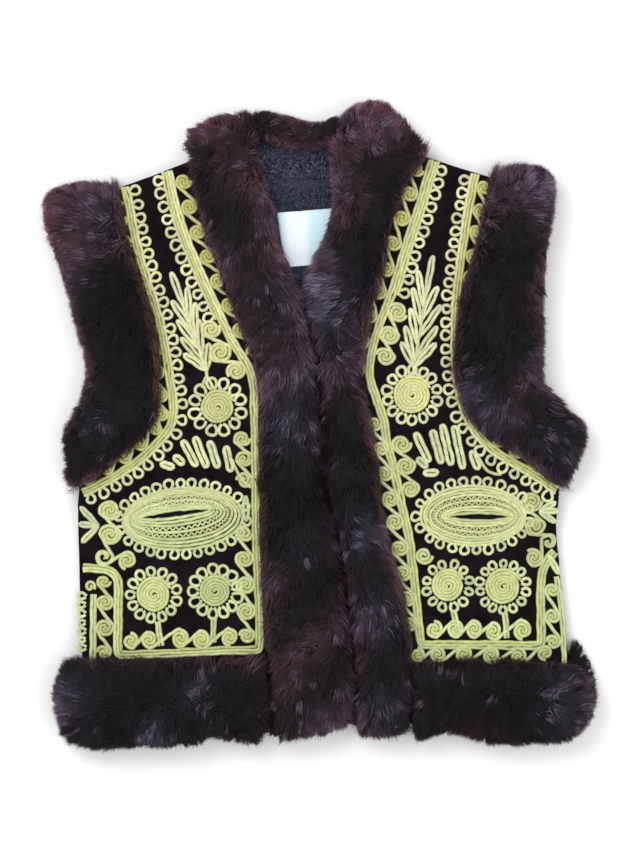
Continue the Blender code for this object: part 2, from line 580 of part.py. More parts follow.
def flower(name, tree, centre, coil, petal, petals):
    """A coiled disc in a ring of looped petals: a scalloped low pad with a raised middle."""
    count = 2 * petals

    def ring(radius, dip):
        return [(centre[0] + radius * (1 - dip * (k % 2)) * math.cos(2 * math.pi * k / count),
                 centre[1] + radius * (1 - dip * (k % 2)) * math.sin(2 * math.pi * k / count))
                for k in range(count)]

    rings = [(0.0, ring(petal, 0.16)), (CORD_RISE * 0.7, ring(petal - 0.8, 0.16)),
             (CORD_RISE, ring(coil, 0.0)), (CORD_RISE * 1.25, ring(coil * 0.55, 0.0))]
    points, faces, count = stacked(tree, rings)
    last = len(points) - count
    points += [raised(tree, *centre, CORD_RISE * 1.25), raised(tree, *centre, 0.0)]
    faces += [(last + k, last + (k + 1) % count, len(points) - 2) for k in range(count)]
    faces += [((k + 1) % count, k, len(points) - 1) for k in range(count)]
    return solid(name, points, faces, "cord")


def pocket_welt(name, tree, centre, half_long, half_wide, tilt, slit):
    """The oval pad of cords round a pocket slit, with a looped edge, open at the slit."""
    slit_centre, slit_long, slit_wide, slit_tilt = slit
    count = 2 * WELT_PETALS

    def oval(share, dip=0.0):
        out = ellipse(centre, half_long * share, half_wide * share, tilt, count)
        inwards = 1 - dip
        dipped = ellipse(centre, half_long * share * inwards, half_wide * share * inwards, tilt, count)
        return [dipped[k] if k % 2 else out[k] for k in range(count)]

    mouth = ellipse(slit_centre, slit_long, slit_wide, slit_tilt, count)
    lip = ellipse(slit_centre, slit_long + 3, slit_wide + 3.5, slit_tilt, count)
    rings = [(0.0, mouth), (0.0, lip), (0.0, oval(0.62)), (0.0, oval(1.0, 0.08)),
             (CORD_RISE * 0.7, oval(0.99, 0.08)), (CORD_RISE, oval(0.8)), (CORD_RISE * 1.2, oval(0.5)),
             (CORD_RISE * 1.35, lip), (CORD_RISE, mouth)]
    points, faces, count = stacked(tree, rings)
    last = len(points) - count
    faces += [(last + k, last + (k + 1) % count, (k + 1) % count, k) for k in range(count)]
    return solid(name, points, faces, "cord")


def ribbed_strip(name, tree, spine, left, right):
    """A raised flat shape: a spine of points with an outline of the same count on either side."""
    points, faces = [], []
    rows = len(spine)
    for rise in (0.0, CORD_RISE):
        for line in (left, spine, right):
            middle = line is spine
            points += [raised(tree, x, y, rise * (1.15 if middle else 0.85)) for x, y in line]
    low = (0, rows, 2 * rows)
    high = (3 * rows, 4 * rows, 5 * rows)
    for i in range(rows - 1):
        for a, b in ((0, 1), (1, 2)):
            faces.append((high[a] + i, high[a] + i + 1, high[b] + i + 1, high[b] + i))
            faces.append((low[a] + i, low[b] + i, low[b] + i + 1, low[a] + i + 1))
        faces.append((low[0] + i, low[0] + i + 1, high[0] + i + 1, high[0] + i))
        faces.append((low[2] + i + 1, low[2] + i, high[2] + i, high[2] + i + 1))
    for i in (0, rows - 1):
        faces.append((low[0] + i, high[0] + i, high[1] + i, low[1] + i))
        faces.append((low[1] + i, high[1] + i, high[2] + i, low[2] + i))
    return solid(name, points, faces, "cord", smooth=False)


def leaf_spray(name, tree, foot, tip, width, pairs):
    """A stem with pairs of slanting leaves that grow wider towards the middle and end in a tip leaf."""
    axis = Vector((tip[0] - foot[0], tip[1] - foot[1]))
    length = axis.length
    axis.normalize()
    across = Vector((-axis.y, axis.x))
    stations = [(0.0, 2.0)]
    for k in range(pairs):
        start = 0.02 + 0.8 * k / pairs
        reach = width / 2 * (1.0 - 0.13 * abs(k - 1))
        stations += [(start + 0.07, 4.5), (start + 0.22, reach), (start + 0.235, 0.62 * reach)]
    stations = sorted(stations) + [(0.9, 3.6), (1.0, 1.6)]
    lines = {-1: [], 0: [], 1: []}
    for share, half in stations:
        for sign in lines:
            place = Vector(foot) + axis * length * share + across * half * sign
            lines[sign].append(tuple(place))
    return ribbed_strip(name, tree, lines[0], lines[-1], lines[1])


def finger_comb(name, tree, fingers):
    """A row of slanting cord fingers joined at their feet."""
    base_line, left, right = [], [], []
    for foot, tip in fingers:
        slant = Vector((tip[0] - foot[0], tip[1] - foot[1])).normalized()
        across = Vector((slant.y, -slant.x)) * FINGER_WIDTH / 2
        start, end = Vector(foot), Vector(tip)
        for side, inwards in ((-1, 0.0), (-0.55, 1.0), (0.55, 1.0), (1, 0.0)):
            shift = across * side
            low = start + shift - slant * 3.0
            high = end + shift if inwards else end + shift - slant * 3.0
            left.append(tuple(low))
            right.append(tuple(high))
            base_line.append(tuple((low + high) / 2))
        middle = start + across * 1.25
        if foot != fingers[-1][0]:
            left.append(tuple(middle - slant * 3.0))
            base_line.append(tuple(middle - slant * 0.5))
            right.append(tuple(middle + slant * 2.0))
    return ribbed_strip(name, tree, base_line, left, right)


def pocket_bag(front, slit_centre):
    """The dark bag behind a pocket slit, flat on the lining."""
    x, y = slit_centre
    half, low = POCKET_HALF_WIDTH, y - POCKET_DEEP
    corner = POCKET_CORNER
    outline = [(x - half, y + POCKET_ABOVE), (x + half, y + POCKET_ABOVE), (x + half, low + corner),
               (x + half - corner, low), (x - half + corner, low), (x - half, low + corner)]
    plate(f"pocket_bag_{front.side}", outline, LABEL_BASE, LABEL_BASE + POCKET_THICK, "pocketing")


def build():
    clear_scene()
    fronts = {"right": Front("right"), "left": Front("left")}
    trees = {}
    for side, slit in SLITS.items():
        trees[side] = front_panel(fronts[side], slit_cutter(f"slit_cutter_{side}", *slit))
        pocket_bag(fronts[side], slit[0])
    back_and_lining(fronts)
    front_trim(fronts["right"], FOOT_RIGHT, COLLAR_TURN_RIGHT)
    front_trim(fronts["left"], FOOT_LEFT, COLLAR_TURN_LEFT)
    collar_back()
    armhole_trim(fronts["right"], ARMHOLE_OUTER_RIGHT, ARMHOLE_END_RIGHT)
    armhole_trim(fronts["left"], ARMHOLE_OUTER_LEFT, ARMHOLE_END_LEFT)
    hem_trim("hem_trim_right", HEM_RIGHT + [HEM_RIGHT_END], HEM_SPLIT + SEAM_GAP, HEM_PROFILE)
    hem_trim("hem_trim_left", [HEM_LEFT_START] + HEM_LEFT, HEM_SPLIT + SEAM_GAP, HEM_PROFILE)
    hem_trim("hem_trim_back", HEM_BACK, 0.0, BACK_HEM_PROFILE)
    for name, side, line, width in BANDS:
        cord_band(name, trees[side], line, width)
    for name, side, centre, coil, petal, petals in FLOWERS:
        flower(name, trees[side], centre, coil, petal, petals)
    for name, side, centre, half_long, half_wide, tilt in POCKETS:
        pocket_welt(name, trees[side], centre, half_long, half_wide, tilt, SLITS[side])
    for name, side, foot, tip, width, pairs in SPRAYS:
        leaf_spray(name, trees[side], foot, tip, width, pairs)
    for name, side, fingers in COMBS:
        finger_comb(name, trees[side], fingers)


build()
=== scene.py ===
"""Looks of the embroidered folk vest: velvet under lime cord work, long fur trims and a boucle lining.

Tables are in millimetres in plan: +X is the wearer's left and +Y runs from hem to neck.
Names ending in _right and _left are the wearer's sides.
"""

import math

import bmesh
import bpy
import numpy as np
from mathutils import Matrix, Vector, kdtree
from mathutils.bvhtree import BVHTree


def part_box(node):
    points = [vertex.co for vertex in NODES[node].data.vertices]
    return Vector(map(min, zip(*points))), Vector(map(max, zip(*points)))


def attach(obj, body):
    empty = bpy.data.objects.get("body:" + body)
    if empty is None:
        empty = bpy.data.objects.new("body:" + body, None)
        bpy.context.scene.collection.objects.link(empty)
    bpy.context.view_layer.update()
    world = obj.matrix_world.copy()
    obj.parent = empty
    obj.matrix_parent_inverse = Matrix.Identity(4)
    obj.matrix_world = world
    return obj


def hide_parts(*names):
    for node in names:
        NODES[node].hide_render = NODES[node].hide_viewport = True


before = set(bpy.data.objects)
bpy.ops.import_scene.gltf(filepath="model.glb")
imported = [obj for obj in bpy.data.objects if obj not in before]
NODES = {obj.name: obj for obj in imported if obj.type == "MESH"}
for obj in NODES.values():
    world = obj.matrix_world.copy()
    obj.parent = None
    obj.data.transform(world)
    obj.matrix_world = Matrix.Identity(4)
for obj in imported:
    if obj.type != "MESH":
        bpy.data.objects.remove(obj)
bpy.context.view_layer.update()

MM = 0.001
SIDES = ("right", "left")
# The panel's side of the armhole band, going down it: 1 left, -1 right. It is on the neck band's other side.
PANEL_WAY = {"right": 1, "left": -1}

# Widths of the cord in loops, rings and stems, coiled flowers, petals, leaves, finger combs and scrolls. The
# cords of a band share its width.
CORD = 3.4
COIL_CORD = 3.8
PETAL_CORD = 3.5
LEAF_CORD = 3.7
FINGER_CORD = 4.3
SCROLL_CORD = 3.9
# A cord is half round: how high it stands, how deep its feet sink into the velvet, and how far it wanders.
CORD_RISE = 1.9
CORD_SINK = 0.6
WANDER = 0.30
# How far apart the points of a straight and of a curled cord are.
CORD_STEP = 2.6
COIL_STEP = 1.8
# From one turn of a coil to the next, and the radius at which the cord ends in its middle.
COIL_PITCH = 3.0
COIL_HEART = 1.1
SCROLL_PITCH = 6.6
SCROLL_HEART = 1.7
# How far along the way to the next coil a scroll's cord has left the last, as a share.
TAIL = 0.10
# How far painted shade yellows a cord, as it is along the fur and in dense coils; below zero, painted
# highlight
# lightens it: the cords across each band, and each kind of motif.
FRAME_PAINTED_SHADE = (0.5, 0.1, 0.0)
ARMHOLE_PAINTED_SHADE = (0.6, 0.25, 0.0)
COIL_PAINTED_SHADE = 0.2
OUTER_COIL_PAINTED_SHADE = 0.4
LOOP_PAINTED_HIGHLIGHT = -0.3

# Bands in plan. The frame band runs down the neck edge, along the hem and up beside the side seam.
FRAME_BAND = {
    "right": [
        (-144.5, 243.5), (-143, 236), (-139, 216), (-133.5, 197), (-127, 178), (-119, 159), (-111, 140),
        (-102, 121), (-93.5, 102), (-84.5, 83), (-75, 68), (-67, 54), (-63, 38), (-62.5, 16),
        (-61.5, -12), (-61, -50), (-61, -80), (-60.5, -107), (-59, -145), (-57.5, -183), (-57.6, -206),
        (-58.8, -211.4), (-64, -212.8), (-92, -213.5), (-122, -215), (-152, -216.5), (-185, -217.6),
        (-191, -216.4), (-192.6, -210), (-192.4, -180), (-192.4, -155), (-194, -144), (-202, -137),
        (-217, -135), (-226, -135)],
    "left": [
        (107.5, 253.5), (106, 248), (102, 235), (96.5, 216), (90.5, 197), (84, 178), (78, 159), (73, 140),
        (66, 121), (58.5, 102), (52, 83), (48, 64), (47.5, 46), (53.5, 27), (60.5, 7), (63, -12),
        (68, -31), (72.5, -50), (76.5, -69), (81, -88), (85, -107), (87, -126), (89.5, -145),
        (91.5, -164), (93.5, -183), (95.5, -202), (97.6, -207), (103, -208), (130, -208), (158, -208),
        (186, -208.5), (203.5, -208.5), (209.4, -207), (210.8, -201), (210.5, -180), (210.5, -155),
        (212, -140), (217, -128), (224, -119)],
}
FRAME_WIDTH = 8.6
ARMHOLE_BAND = {
    "right": [
        (-186, 228), (-184.5, 222), (-182, 213), (-179, 195), (-175, 176), (-170.5, 158), (-165, 140),
        (-159, 121), (-153, 102), (-149, 83), (-145.5, 64), (-143, 45), (-140, 26), (-140, 9), (-145, -4),
        (-154, -15), (-165, -26), (-177, -36), (-191, -45), (-205, -53), (-219, -60), (-226, -63)],
    "left": [
        (148, 240.5), (146, 232), (143, 216), (139.5, 197), (137, 178), (134, 159), (132, 140),
        (130, 121), (129, 102), (128.5, 78), (129.5, 55), (132, 36), (137, 17), (145, 0), (156, -14),
        (170, -26), (185, -35), (199, -43), (213, -52), (219, -57), (225.5, -61)],
}
ARMHOLE_WIDTH = 8.8
EDGE_BAND = {
    "right": [(-216.2, -229), (-216.2, -190), (-216.2, -160)],
    "left": [(232.4, -226), (231.4, -190), (229, -165), (225.5, -143)],
}
EDGE_WIDTH = {"right": 6.4, "left": 5.2}
# The coil at the top of the right edge band: x, y and radius.
EDGE_COIL = (-219.5, -152.5, 6.8)
# Small loops along the back's own edge, which shows past the front's side edge.
BACK_EDGE = [(-224.6, -158), (-224.6, -186), (-224.2, -214)]

# How many millimetres of the neck band have a row of loops beside them. The armhole band has one all along.
NECK_LOOPS = {"right": 150, "left": 134}
LOOP_PITCH = 12.2

# Flowers: node, centre, radius of the coil and to the petals' tips, number of petals, and the stem's foot.
FLOWERS = {
    "right": [
        ("flower_top", (-97.4, 18.5), 17.5, 29.5, 12, None),
        ("flower_low_side", (-158.5, -160.5), 18, 28.5, 13, (-151.5, -209)),
        ("flower_low_front", (-99.8, -157.2), 16.5, 28, 13, (-102, -206))],
    "left": [
        ("flower_top", (88, 30), 19.5, 30.5, 14, None),
        ("flower_low_front", (122, -151.8), 17, 26.5, 12, (132.5, -200)),
        ("flower_low_side", (174.6, -152.8), 18.5, 28, 14, (178, -202))],
}

# Pocket surrounds: centre, half length, half width and tilt of the oval, then the slit's, with no width.
POCKETS = {
    "right": ((-130.6, -88), 59, 31, 4, (-138.2, -83.5), 31, 7),
    "left": ((146, -85), 51.5, 30, 0, (151.5, -86), 26, 0),
}
# How far the innermost ring is from its slit.
POCKET_LIP = 3.4
# Which rings are zigzags, counted from the outside, how wide their cord is, and how far it swings aside.
POCKET_ZIGZAGS = (4, 6)
ZIGZAG_CORD = 2.2
ZIGZAG_SWING = 1.3
POCKET_LOOP_PITCH = 11.2

# Leaf sprays: foot, tip, the tips of the leaves on each side, and the cords that cross from foot to flower.
SPRAYS = {
    "right": (
        (-107.5, 53), (-141.5, 146),
        [(-140.5, 119), (-136, 101), (-132, 84), (-129.5, 69)],
        [(-126.5, 132), (-119, 117.5), (-115, 101), (-106, 79)],
        [[(-109, 58), (-107.5, 50), (-110.5, 43), (-112, 36.5)],
         [(-107, 58), (-108, 50), (-105, 43), (-101.5, 36)]]),
    "left": (
        (89.5, 57), (107.5, 162),
        [(93.5, 148), (88.5, 131), (86, 112), (81.5, 95), (77.5, 80)],
        [(111.5, 132.5), (114.5, 115), (111.5, 95), (110.5, 79)],
        [[(88.5, 62), (90, 56), (87.5, 50), (83, 47)],
         [(91.5, 62), (89.5, 56), (92, 50.5), (97, 46)]]),
}
# How far down the stem from beside its tip each leaf starts, and the leaves' width.
LEAF_START = 33
LEAF_WIDTH = 7.9

# Finger combs: the tip and foot of each finger, and the cord that runs on from the last one.
COMBS = {
    "right": (
        [((-151, -35.5), (-140, -39)), ((-138.2, -28.5), (-130.6, -35.6)), ((-130.3, -14.3), (-118, -37)),
         ((-119.2, -10.9), (-108.1, -38)), ((-105, -14.7), (-97.4, -38.5)), ((-89.8, -19.5), (-85, -42))],
        [(-84, -31), (-79, -42), (-72, -53), (-66, -58)]),
    "left": (
        [((91.4, -7.1), (103.5, -33)), ((107.2, -4.5), (115.5, -34)), ((116.7, 0.8), (125, -35.6)),
         ((128, -0.8), (136.3, -39)), ((144.4, -23.8), (150.4, -40)), ((92.9, -30.9), (102, -38)),
         ((99.3, -44.6), (112, -43.6))],
        [(147, -24), (153, -33), (158, -41), (164, -44.5), (173, -45.5)]),
}
FINGER_WIDTH = 8.6

# Running scrolls: x, y and radius of each coil in order.
SCROLLS = {
    "right": [
        [(-104, 93, 10.5), (-95, 71, 11.5), (-80, 53, 10.5)],
        [(-74, -12, 9.2), (-72, -31, 9.2), (-72, -51, 9)],
        [(-72, -102, 9.2), (-72, -126, 9.5), (-71, -151, 9.8), (-70, -176, 9.8), (-70, -199, 8.6)],
        [(-200, -80, 11.4), (-200, -103, 11.4), (-206, -124, 9.8), (-184, -128, 9.8)],
        [(-206, -148, 7.6), (-205, -168, 9), (-205, -192, 9.4), (-206, -215, 8)],
        [(-180, -204, 8.8), (-163, -203, 8.8), (-133, -202, 9.8), (-113, -203, 9.6), (-86, -201, 9.6)]],
    "left": [
        [(74, 109, 11), (66, 87, 10.5), (62, 67, 10.2)],
        [(78, -17, 10.2), (82, -38, 9.8), (86, -60, 9.6)],
        [(202, -72, 11.2), (205, -95, 10.5), (218, -110, 8.6), (204, -125, 10.2)],
        [(221.5, -156, 8), (221.5, -181, 8.4), (222, -205, 8.4)],
        [(99, -123, 9.8)],
        [(109, -193, 9.2), (129, -193, 9.4), (147, -193, 9.4), (165, -195, 9.2), (193, -194, 10.4)],
        [(52, 2, 8.4), (58, -21, 8.4), (61, -45, 9.2), (67, -69, 9.2), (71, -91, 9.2), (76, -116, 9.2),
         (79, -140, 9.2), (83, -164, 9.2), (86, -188, 8.6)],
        [(93, -217, 8.4), (112, -217, 9), (137, -217, 9.4), (163, -218, 9.4), (189, -219, 9.2),
         (214, -216, 8.4)]],
}
# Coils on the fur side of a band, half hidden by the pile: gap, radius and pitch. Those of the neck band end
# this many millimetres down it.
NECK_COILS = (12.6, 8.8, 25)
NECK_COILS_END = {"right": 205, "left": 222}
ARMHOLE_COILS = (11.5, 8, 21.5)

# Single leaves: foot, tip and width.
LEAVES = {
    "right": [
        ((-211, -95), (-228, -77), 7), ((-211, -95), (-229, -93), 7), ((-211, -95), (-227, -110), 7),
        ((-71, -66), (-70, -90), 8)],
    "left": [
        ((209, -81), (224, -72), 7), ((209, -81), (226, -80), 7), ((209, -81), (224, -91), 7),
        ((217, -122), (228, -140), 7)],
}

# Fur: node, number of hairs, pile length, depth of the pile over the backing, and the seed.
FUR = [
    ("front_trim_right", 56000, 22, 8.5, 11), ("front_trim_left", 56000, 22, 8.5, 23),
    ("armhole_trim_right", 44000, 21, 8.5, 37), ("armhole_trim_left", 44000, 21, 8.5, 41),
    ("hem_trim_right", 24000, 20, 8.5, 53), ("hem_trim_left", 22000, 20, 8.5, 67),
    ("hem_trim_back", 7000, 15, 2, 71), ("collar_back", 14000, 19, 5, 83)]
HAIR_HALF_WIDTH = 0.30
HAIRS_PER_TUFT = 30
# Painted shade down in the pile and painted light on the tips: how dark a hair is at its root, on both sides
# of its middle and at its tip.
STRAND_PAINTED_SHADE = np.array((0.35, 0.9, 0.9, 1.3))
# How far the tips stand proud of the trim's own outline, and how much farther the share that strays does.
TIPS_PROUD = (0, 4.5)
STRAY = 4
STRAY_SHARE = 0.06
# No hair stands higher than this.
PILE_TOP = 60
# Hair rooted this near a panel is sewn along with it. How long it is, and the rest, as shares of the pile.
SEAM_REACH = 16
SEWN_LENGTH = 1.4
FREE_LENGTH = 0.86
# How far the tips reach past the line where the pile ends over a panel, and how much farther some do.
FRINGE = (-1.5, 3)
LONG_FRINGE = 5
LONG_FRINGE_SHARE = 0.09
# Where two trims meet, painted shade darkens the pile: how far from the other trim's outline that starts.
MEETING = 20
# How thinly the hair grows where it isn't seen, and how far out the back's hem trim shows.
UNSEEN = 0.03
BACK_TRIM_SHOWS = 222
SKIN_VOXEL = 4.5
FUR_DARK = (0.0110, 0.0090, 0.0104)
# Painted sheen: the plum the pile takes down its flanks.
FUR_PLUM_SHEEN = (0.135, 0.064, 0.092)
# Painted bluish sheen.
FUR_BLUE_SHEEN = (0.070, 0.058, 0.092)
# Painted highlights on single hairs, plain and bluish.
FUR_HIGHLIGHT = (0.20, 0.155, 0.21)
FUR_SHEEN = (0.25, 0.235, 0.35)
# The painted glow of the lit cords through the thin fringe where the pile ends.
FUR_FRINGE_GLOW = (0.150, 0.082, 0.060)
FUR_RED = (0.200, 0.056, 0.085)
FUR_RED_PATCHES = [
    (60, 295, 32, 0.55), (-115, 288, 26, 0.35), (96, 262, 16, 0.7), (-262, 190, 24, 0.25),
    (-222, 206, 34, 0.2), (-30, 290, 34, 0.3), (150, -298, 26, 0.5)]
# Soft patches where painted sheen makes the pile more plum, and below zero where painted shade makes it
# darker:
# x, y, reach and how much.
FUR_PATCHES = [
    (-184, 121, 42, -0.7), (-200, 30, 40, -0.4), (-34, -69, 48, -0.7), (-78, 238, 28, 0.35),
    (80, 190, 42, -0.5), (30, -40, 38, -0.6), (161, 93, 50, -0.5), (213, -2, 28, -0.4),
    (-181, -250, 60, -1), (161, -256, 62, -1.3), (-250, 175, 48, 0.66), (-43, 216, 26, 0.6),
    (-29, 93, 48, 0.5), (0, -211, 42, 0.35), (23, 216, 32, 0.46), (18, 60, 30, 0.22), (56, 292, 30, 0.6),
    (-105, 290, 28, 0.9), (204, 225, 34, 0.65), (206, 112, 40, 0.62), (164, 152, 30, -0.4),
    (45, 240, 26, 0.1), (242, -250, 22, 0.1), (-233, -259, 25, 0.5),
    (2, 283, 20, -0.35), (-105, -276, 30, -0.4), (-160, -8, 22, -0.5), (-246, 100, 26, 0.5),
    (-240, 62, 22, 0.45), (206, 60, 24, 0.4), (12, 145, 24, 0.3), (-228, 118, 15, 0.35),
    (-228, 88, 16, 0.5), (-226, 52, 15, 0.45), (-27, -130, 34, 0.3), (72, -150, 30, -0.35),
    (-222, 208, 30, 0.22)]
# Where the hair is brushed another way: x, y and reach of each patch, and how far to the left and up.
COMBED_PATCHES = {
    "front_trim_left": [(12, 138, 38, -2.2, 0.3), (34, 78, 24, 1.3, 0.9), (30, -92, 20, 1.2, 0.2)],
    "front_trim_right": [(-22, 140, 30, 0.9, 0), (-30, -175, 26, 0.8, 0.6), (-6, -215, 24, -0.8, 0.2)],
    "armhole_trim_left": [
        (150, 40, 30, -0.9, 0.3), (213, 5, 28, 0.9, -0.2), (196, 220, 34, 0.8, -0.2),
        (176, -14, 22, -0.6, -0.8)],
    "armhole_trim_right": [(-235, 120, 34, -0.8, 0.2), (-222, 195, 40, -0.9, 0)],
}
# The hair that closes the foot of the neck opening: x, y and reach, and how much longer it is left.
NECK_FOOT = (-20, 138, 15, 13)
# Where the pile ends over the panels: the panel's side of that line (1 left, -1 right), how much painted
# glow of the lit cords the tips take along it, and the line.
FUR_EDGES = {
    "armhole_trim_right": (1, 0.45, [
        (-194, 240), (-192, 216), (-188, 192), (-184, 178), (-179, 164), (-172, 145), (-165, 126),
        (-159, 102), (-153, 74), (-152.5, 55), (-156, 35), (-157, 22), (-156, 8), (-169, -8), (-183, -20),
        (-202, -36), (-214, -47), (-228, -55)]),
    "armhole_trim_left": (-1, 0.15, [
        (162, 250), (160, 221), (154, 211), (151.5, 192), (150, 173), (144, 157), (138, 145), (136, 131),
        (131, 121), (129, 92.6), (126, 74), (126, 55), (127, 40), (130, 26), (139, 7), (150, -3),
        (162, -12), (177, -21), (190, -29), (199, -36), (211, -45), (225, -54)]),
    "front_trim_right": (-1, 0.3, [
        (-126, 265), (-122, 245), (-117, 216), (-112.5, 197), (-103, 169), (-92, 145), (-85, 121),
        (-75, 93), (-68, 75.5), (-59, 60), (-56.5, 26), (-56.5, -107), (-56.5, -145), (-54, -183),
        (-51, -211)]),
    "front_trim_left": (1, 0.25, [
        (104, 264), (98, 252), (88, 245), (79, 224), (75.5, 207), (64, 192), (62, 150), (61, 135),
        (54.6, 123), (48, 110), (48, 93), (43, 78), (41, 55), (42, 36), (48, 10), (54, -21), (58, -60),
        (62, -97), (71, -131), (78, -154), (83, -183), (88, -215)]),
    "hem_trim_right": (1, 0.08, [
        (-232, -217), (-205, -217), (-176, -218), (-108, -218), (-76, -216), (-51, -210)]),
    "hem_trim_left": (1, 0.12, [
        (86, -223), (110, -220), (158, -219), (189, -221), (235, -226)]),
}
# Patches of painted bluish sheen: x, y, reach and how much.
FUR_SHINE = [
    (30, -97, 20, 0.5), (57, -262, 24, 0.2), (228, -262, 24, 0.34), (-238, -262, 20, 0.45),
    (-118, -254, 12, 0.35), (-155, -284, 16, 0.4), (-12, 99, 24, 0.25), (-8, 58, 20, 0.3),
    (190, 236, 24, 0.36), (226, -21, 22, 0.18), (-29, 8, 22, 0.45), (50, -178, 24, 0.35),
    (-205, 205, 24, 0.3), (214, 60, 18, 0.42), (90, 292, 22, 0.35), (5, 138, 26, 0.4),
    (-27, 142, 20, 0.42), (14, 108, 22, 0.3), (150, 32, 20, 0.5), (170, 10, 16, 0.3), (-209, 4, 12, 0.3)]

# Boucle curls: x and y of the corners of the patch, how many, and their radius.
FACING_CURLS = (-78, 237.5, 38, 281, 2000, 1.9)
LINING_CURLS = (-66, 204, 28, 229, 1200, 1.1)
CURL_STEPS = 7
CURL_SIDES = 3
CURL_DARK = (0.022, 0.027, 0.044)
CURL_LIGHT = (0.095, 0.108, 0.165)

# How often a cloth's edges are halved at most, and how long they may be outside the part that shows.
MOST_CUTS = 9
HIDDEN_EDGE = 18.0

# The camera looks straight down from far off, so that high and low parts of the vest keep one scale.
CAMERA_HEIGHT = 3000.0
CAMERA_LENS = 132.2
# Lamps: name, place and size in metres, and power in watts.
LAMPS = (("key", (-0.9, 0.9, 1.9), 1.4, 26.0), ("fill", (1.1, -0.6, 1.7), 1.6, 12.0))
PAPER = (0.96, 0.96, 0.96)


# Arrays and curves.

def unit(rows):
    return rows / np.maximum(np.linalg.norm(rows, axis=-1, keepdims=True), 1e-9)


def mixed(low, high, share):
    low = np.array(low)
    return low + (high - low) * share


def wavy(points, length, seed):
    """A smooth random field between about -1 and 1 that changes over about length millimetres."""
    rng = np.random.default_rng(seed)
    total = np.zeros(len(points))
    for _ in range(6):
        direction = rng.normal(size=points.shape[1])
        direction *= 2 * math.pi / (length * rng.uniform(0.8, 2.2) * np.linalg.norm(direction))
        total += np.sin(points @ direction + rng.uniform(0, 2 * math.pi))
    return total / 2.6


def patch(points, x, y, reach):
    """1 at a spot in plan, and less away from it over about reach millimetres."""
    return np.exp(-((points[:, 0] - x) ** 2 + (points[:, 1] - y) ** 2) / reach ** 2)


def smooth(points, step):
    """Points about step apart on the smooth curve through points."""
    points = np.array(points, float)
    made = []
    for i in range(len(points) - 1):
        a, b = points[max(i - 1, 0)], points[i]
        c, d = points[i + 1], points[min(i + 2, len(points) - 1)]
        count = max(1, round(float(np.linalg.norm(c - b)) / step))
        t = (np.arange(count) / count)[:, None]
        made.append(0.5 * (2 * b + (c - a) * t + (2 * a - 5 * b + 4 * c - d) * t ** 2
                           + (3 * b - a - 3 * c + d) * t ** 3))
    made.append(points[-1:])
    return np.concatenate(made)


def across(line):
    """Unit vectors to the left of a line of points in plan."""
    run = unit(np.gradient(line, axis=0))
    return np.stack([-run[:, 1], run[:, 0]], axis=1)


def shifted(line, amount):
    return line + across(line) * amount


def reach_along(line):
    """The distance of each point of a line from its start."""
    return np.concatenate([[0], np.cumsum(np.linalg.norm(np.diff(line, axis=0), axis=1))])


def stretch(points, end=math.inf):
    """Points a millimetre apart on a band, down to a distance from its start."""
    line = smooth(points, 1.0)
    return line[reach_along(line) <= end]


def spots(line, pitch):
    """Evenly spaced places on a line about pitch apart, and the way across it at each."""
    reach = reach_along(line)
    count = max(1, round(reach[-1] / pitch))
    at = np.searchsorted(reach, (np.arange(count) + 0.5) / count * reach[-1])
    return line[at], across(line)[at]


# Materials.

WOOL = {"Sheen_Weight": 0.08, "Sheen_Roughness": 0.6, "Specular_IOR_Level": 0.2}


def material(name, base, roughness, **sockets):
    made = bpy.data.materials.new(name)
    made.use_nodes = True
    shader = made.node_tree.nodes["Principled BSDF"]
    shader.inputs["Base Color"].default_value = (*base, 1.0)
    shader.inputs["Roughness"].default_value = roughness
    for socket, value in sockets.items():
        shader.inputs[socket.replace("_", " ")].default_value = value
    return made, made.node_tree, shader


def texture(tree, kind, scale, output="Object", **settings):
    """A texture laid out by one output of the texture coordinates."""
    node = tree.nodes.new(f"ShaderNodeTex{kind}")
    node.inputs["Scale"].default_value = scale
    for name, value in settings.items():
        node.inputs[name].default_value = value
    tree.links.new(tree.nodes.new("ShaderNodeTexCoord").outputs[output], node.inputs["Vector"])
    return node


def two_tone(tree, shader, factor, dark, light):
    ramp = tree.nodes.new("ShaderNodeValToRGB")
    for element, position, colour in zip(ramp.color_ramp.elements, (0.3, 0.7), (dark, light)):
        element.position = position
        element.color = (*colour, 1.0)
    tree.links.new(factor, ramp.inputs["Fac"])
    tree.links.new(ramp.outputs["Color"], shader.inputs["Base Color"])


def bump(tree, shader, height, distance, strength=1.0):
    node = tree.nodes.new("ShaderNodeBump")
    node.inputs["Distance"].default_value = distance
    node.inputs["Strength"].default_value = strength
    tree.links.new(height, node.inputs["Height"])
    tree.links.new(node.outputs["Normal"], shader.inputs["Normal"])


def grainy(name, base, roughness, kind, scale, grain, dark, light, depth, strength=1.0, **sockets):
    """A material whose tone and relief both follow one texture, of this kind and scale."""
    made, tree, shader = material(name, base, roughness, **sockets)
    factor = texture(tree, kind, scale, **grain).outputs["Fac"]
    two_tone(tree, shader, factor, dark, light)
    if depth:
        bump(tree, shader, factor, depth, strength)
    return made


def velvet_material():
    made, tree, shader = material("velvet_pile", (0.007, 0.004, 0.006), 0.95, Sheen_Weight=0.05,
                                  Sheen_Roughness=0.4, Sheen_Tint=(0.45, 0.30, 0.40, 1.0),
                                  Specular_IOR_Level=0.07)
    crush = texture(tree, "Noise", 55.0, Detail=5.0, Roughness=0.6)
    two_tone(tree, shader, crush.outputs["Fac"], (0.0035, 0.0020, 0.0028), (0.0115, 0.0068, 0.0098))
    bump(tree, shader, texture(tree, "Noise", 1500.0, Detail=2.0).outputs["Fac"], 0.0004)
    return made


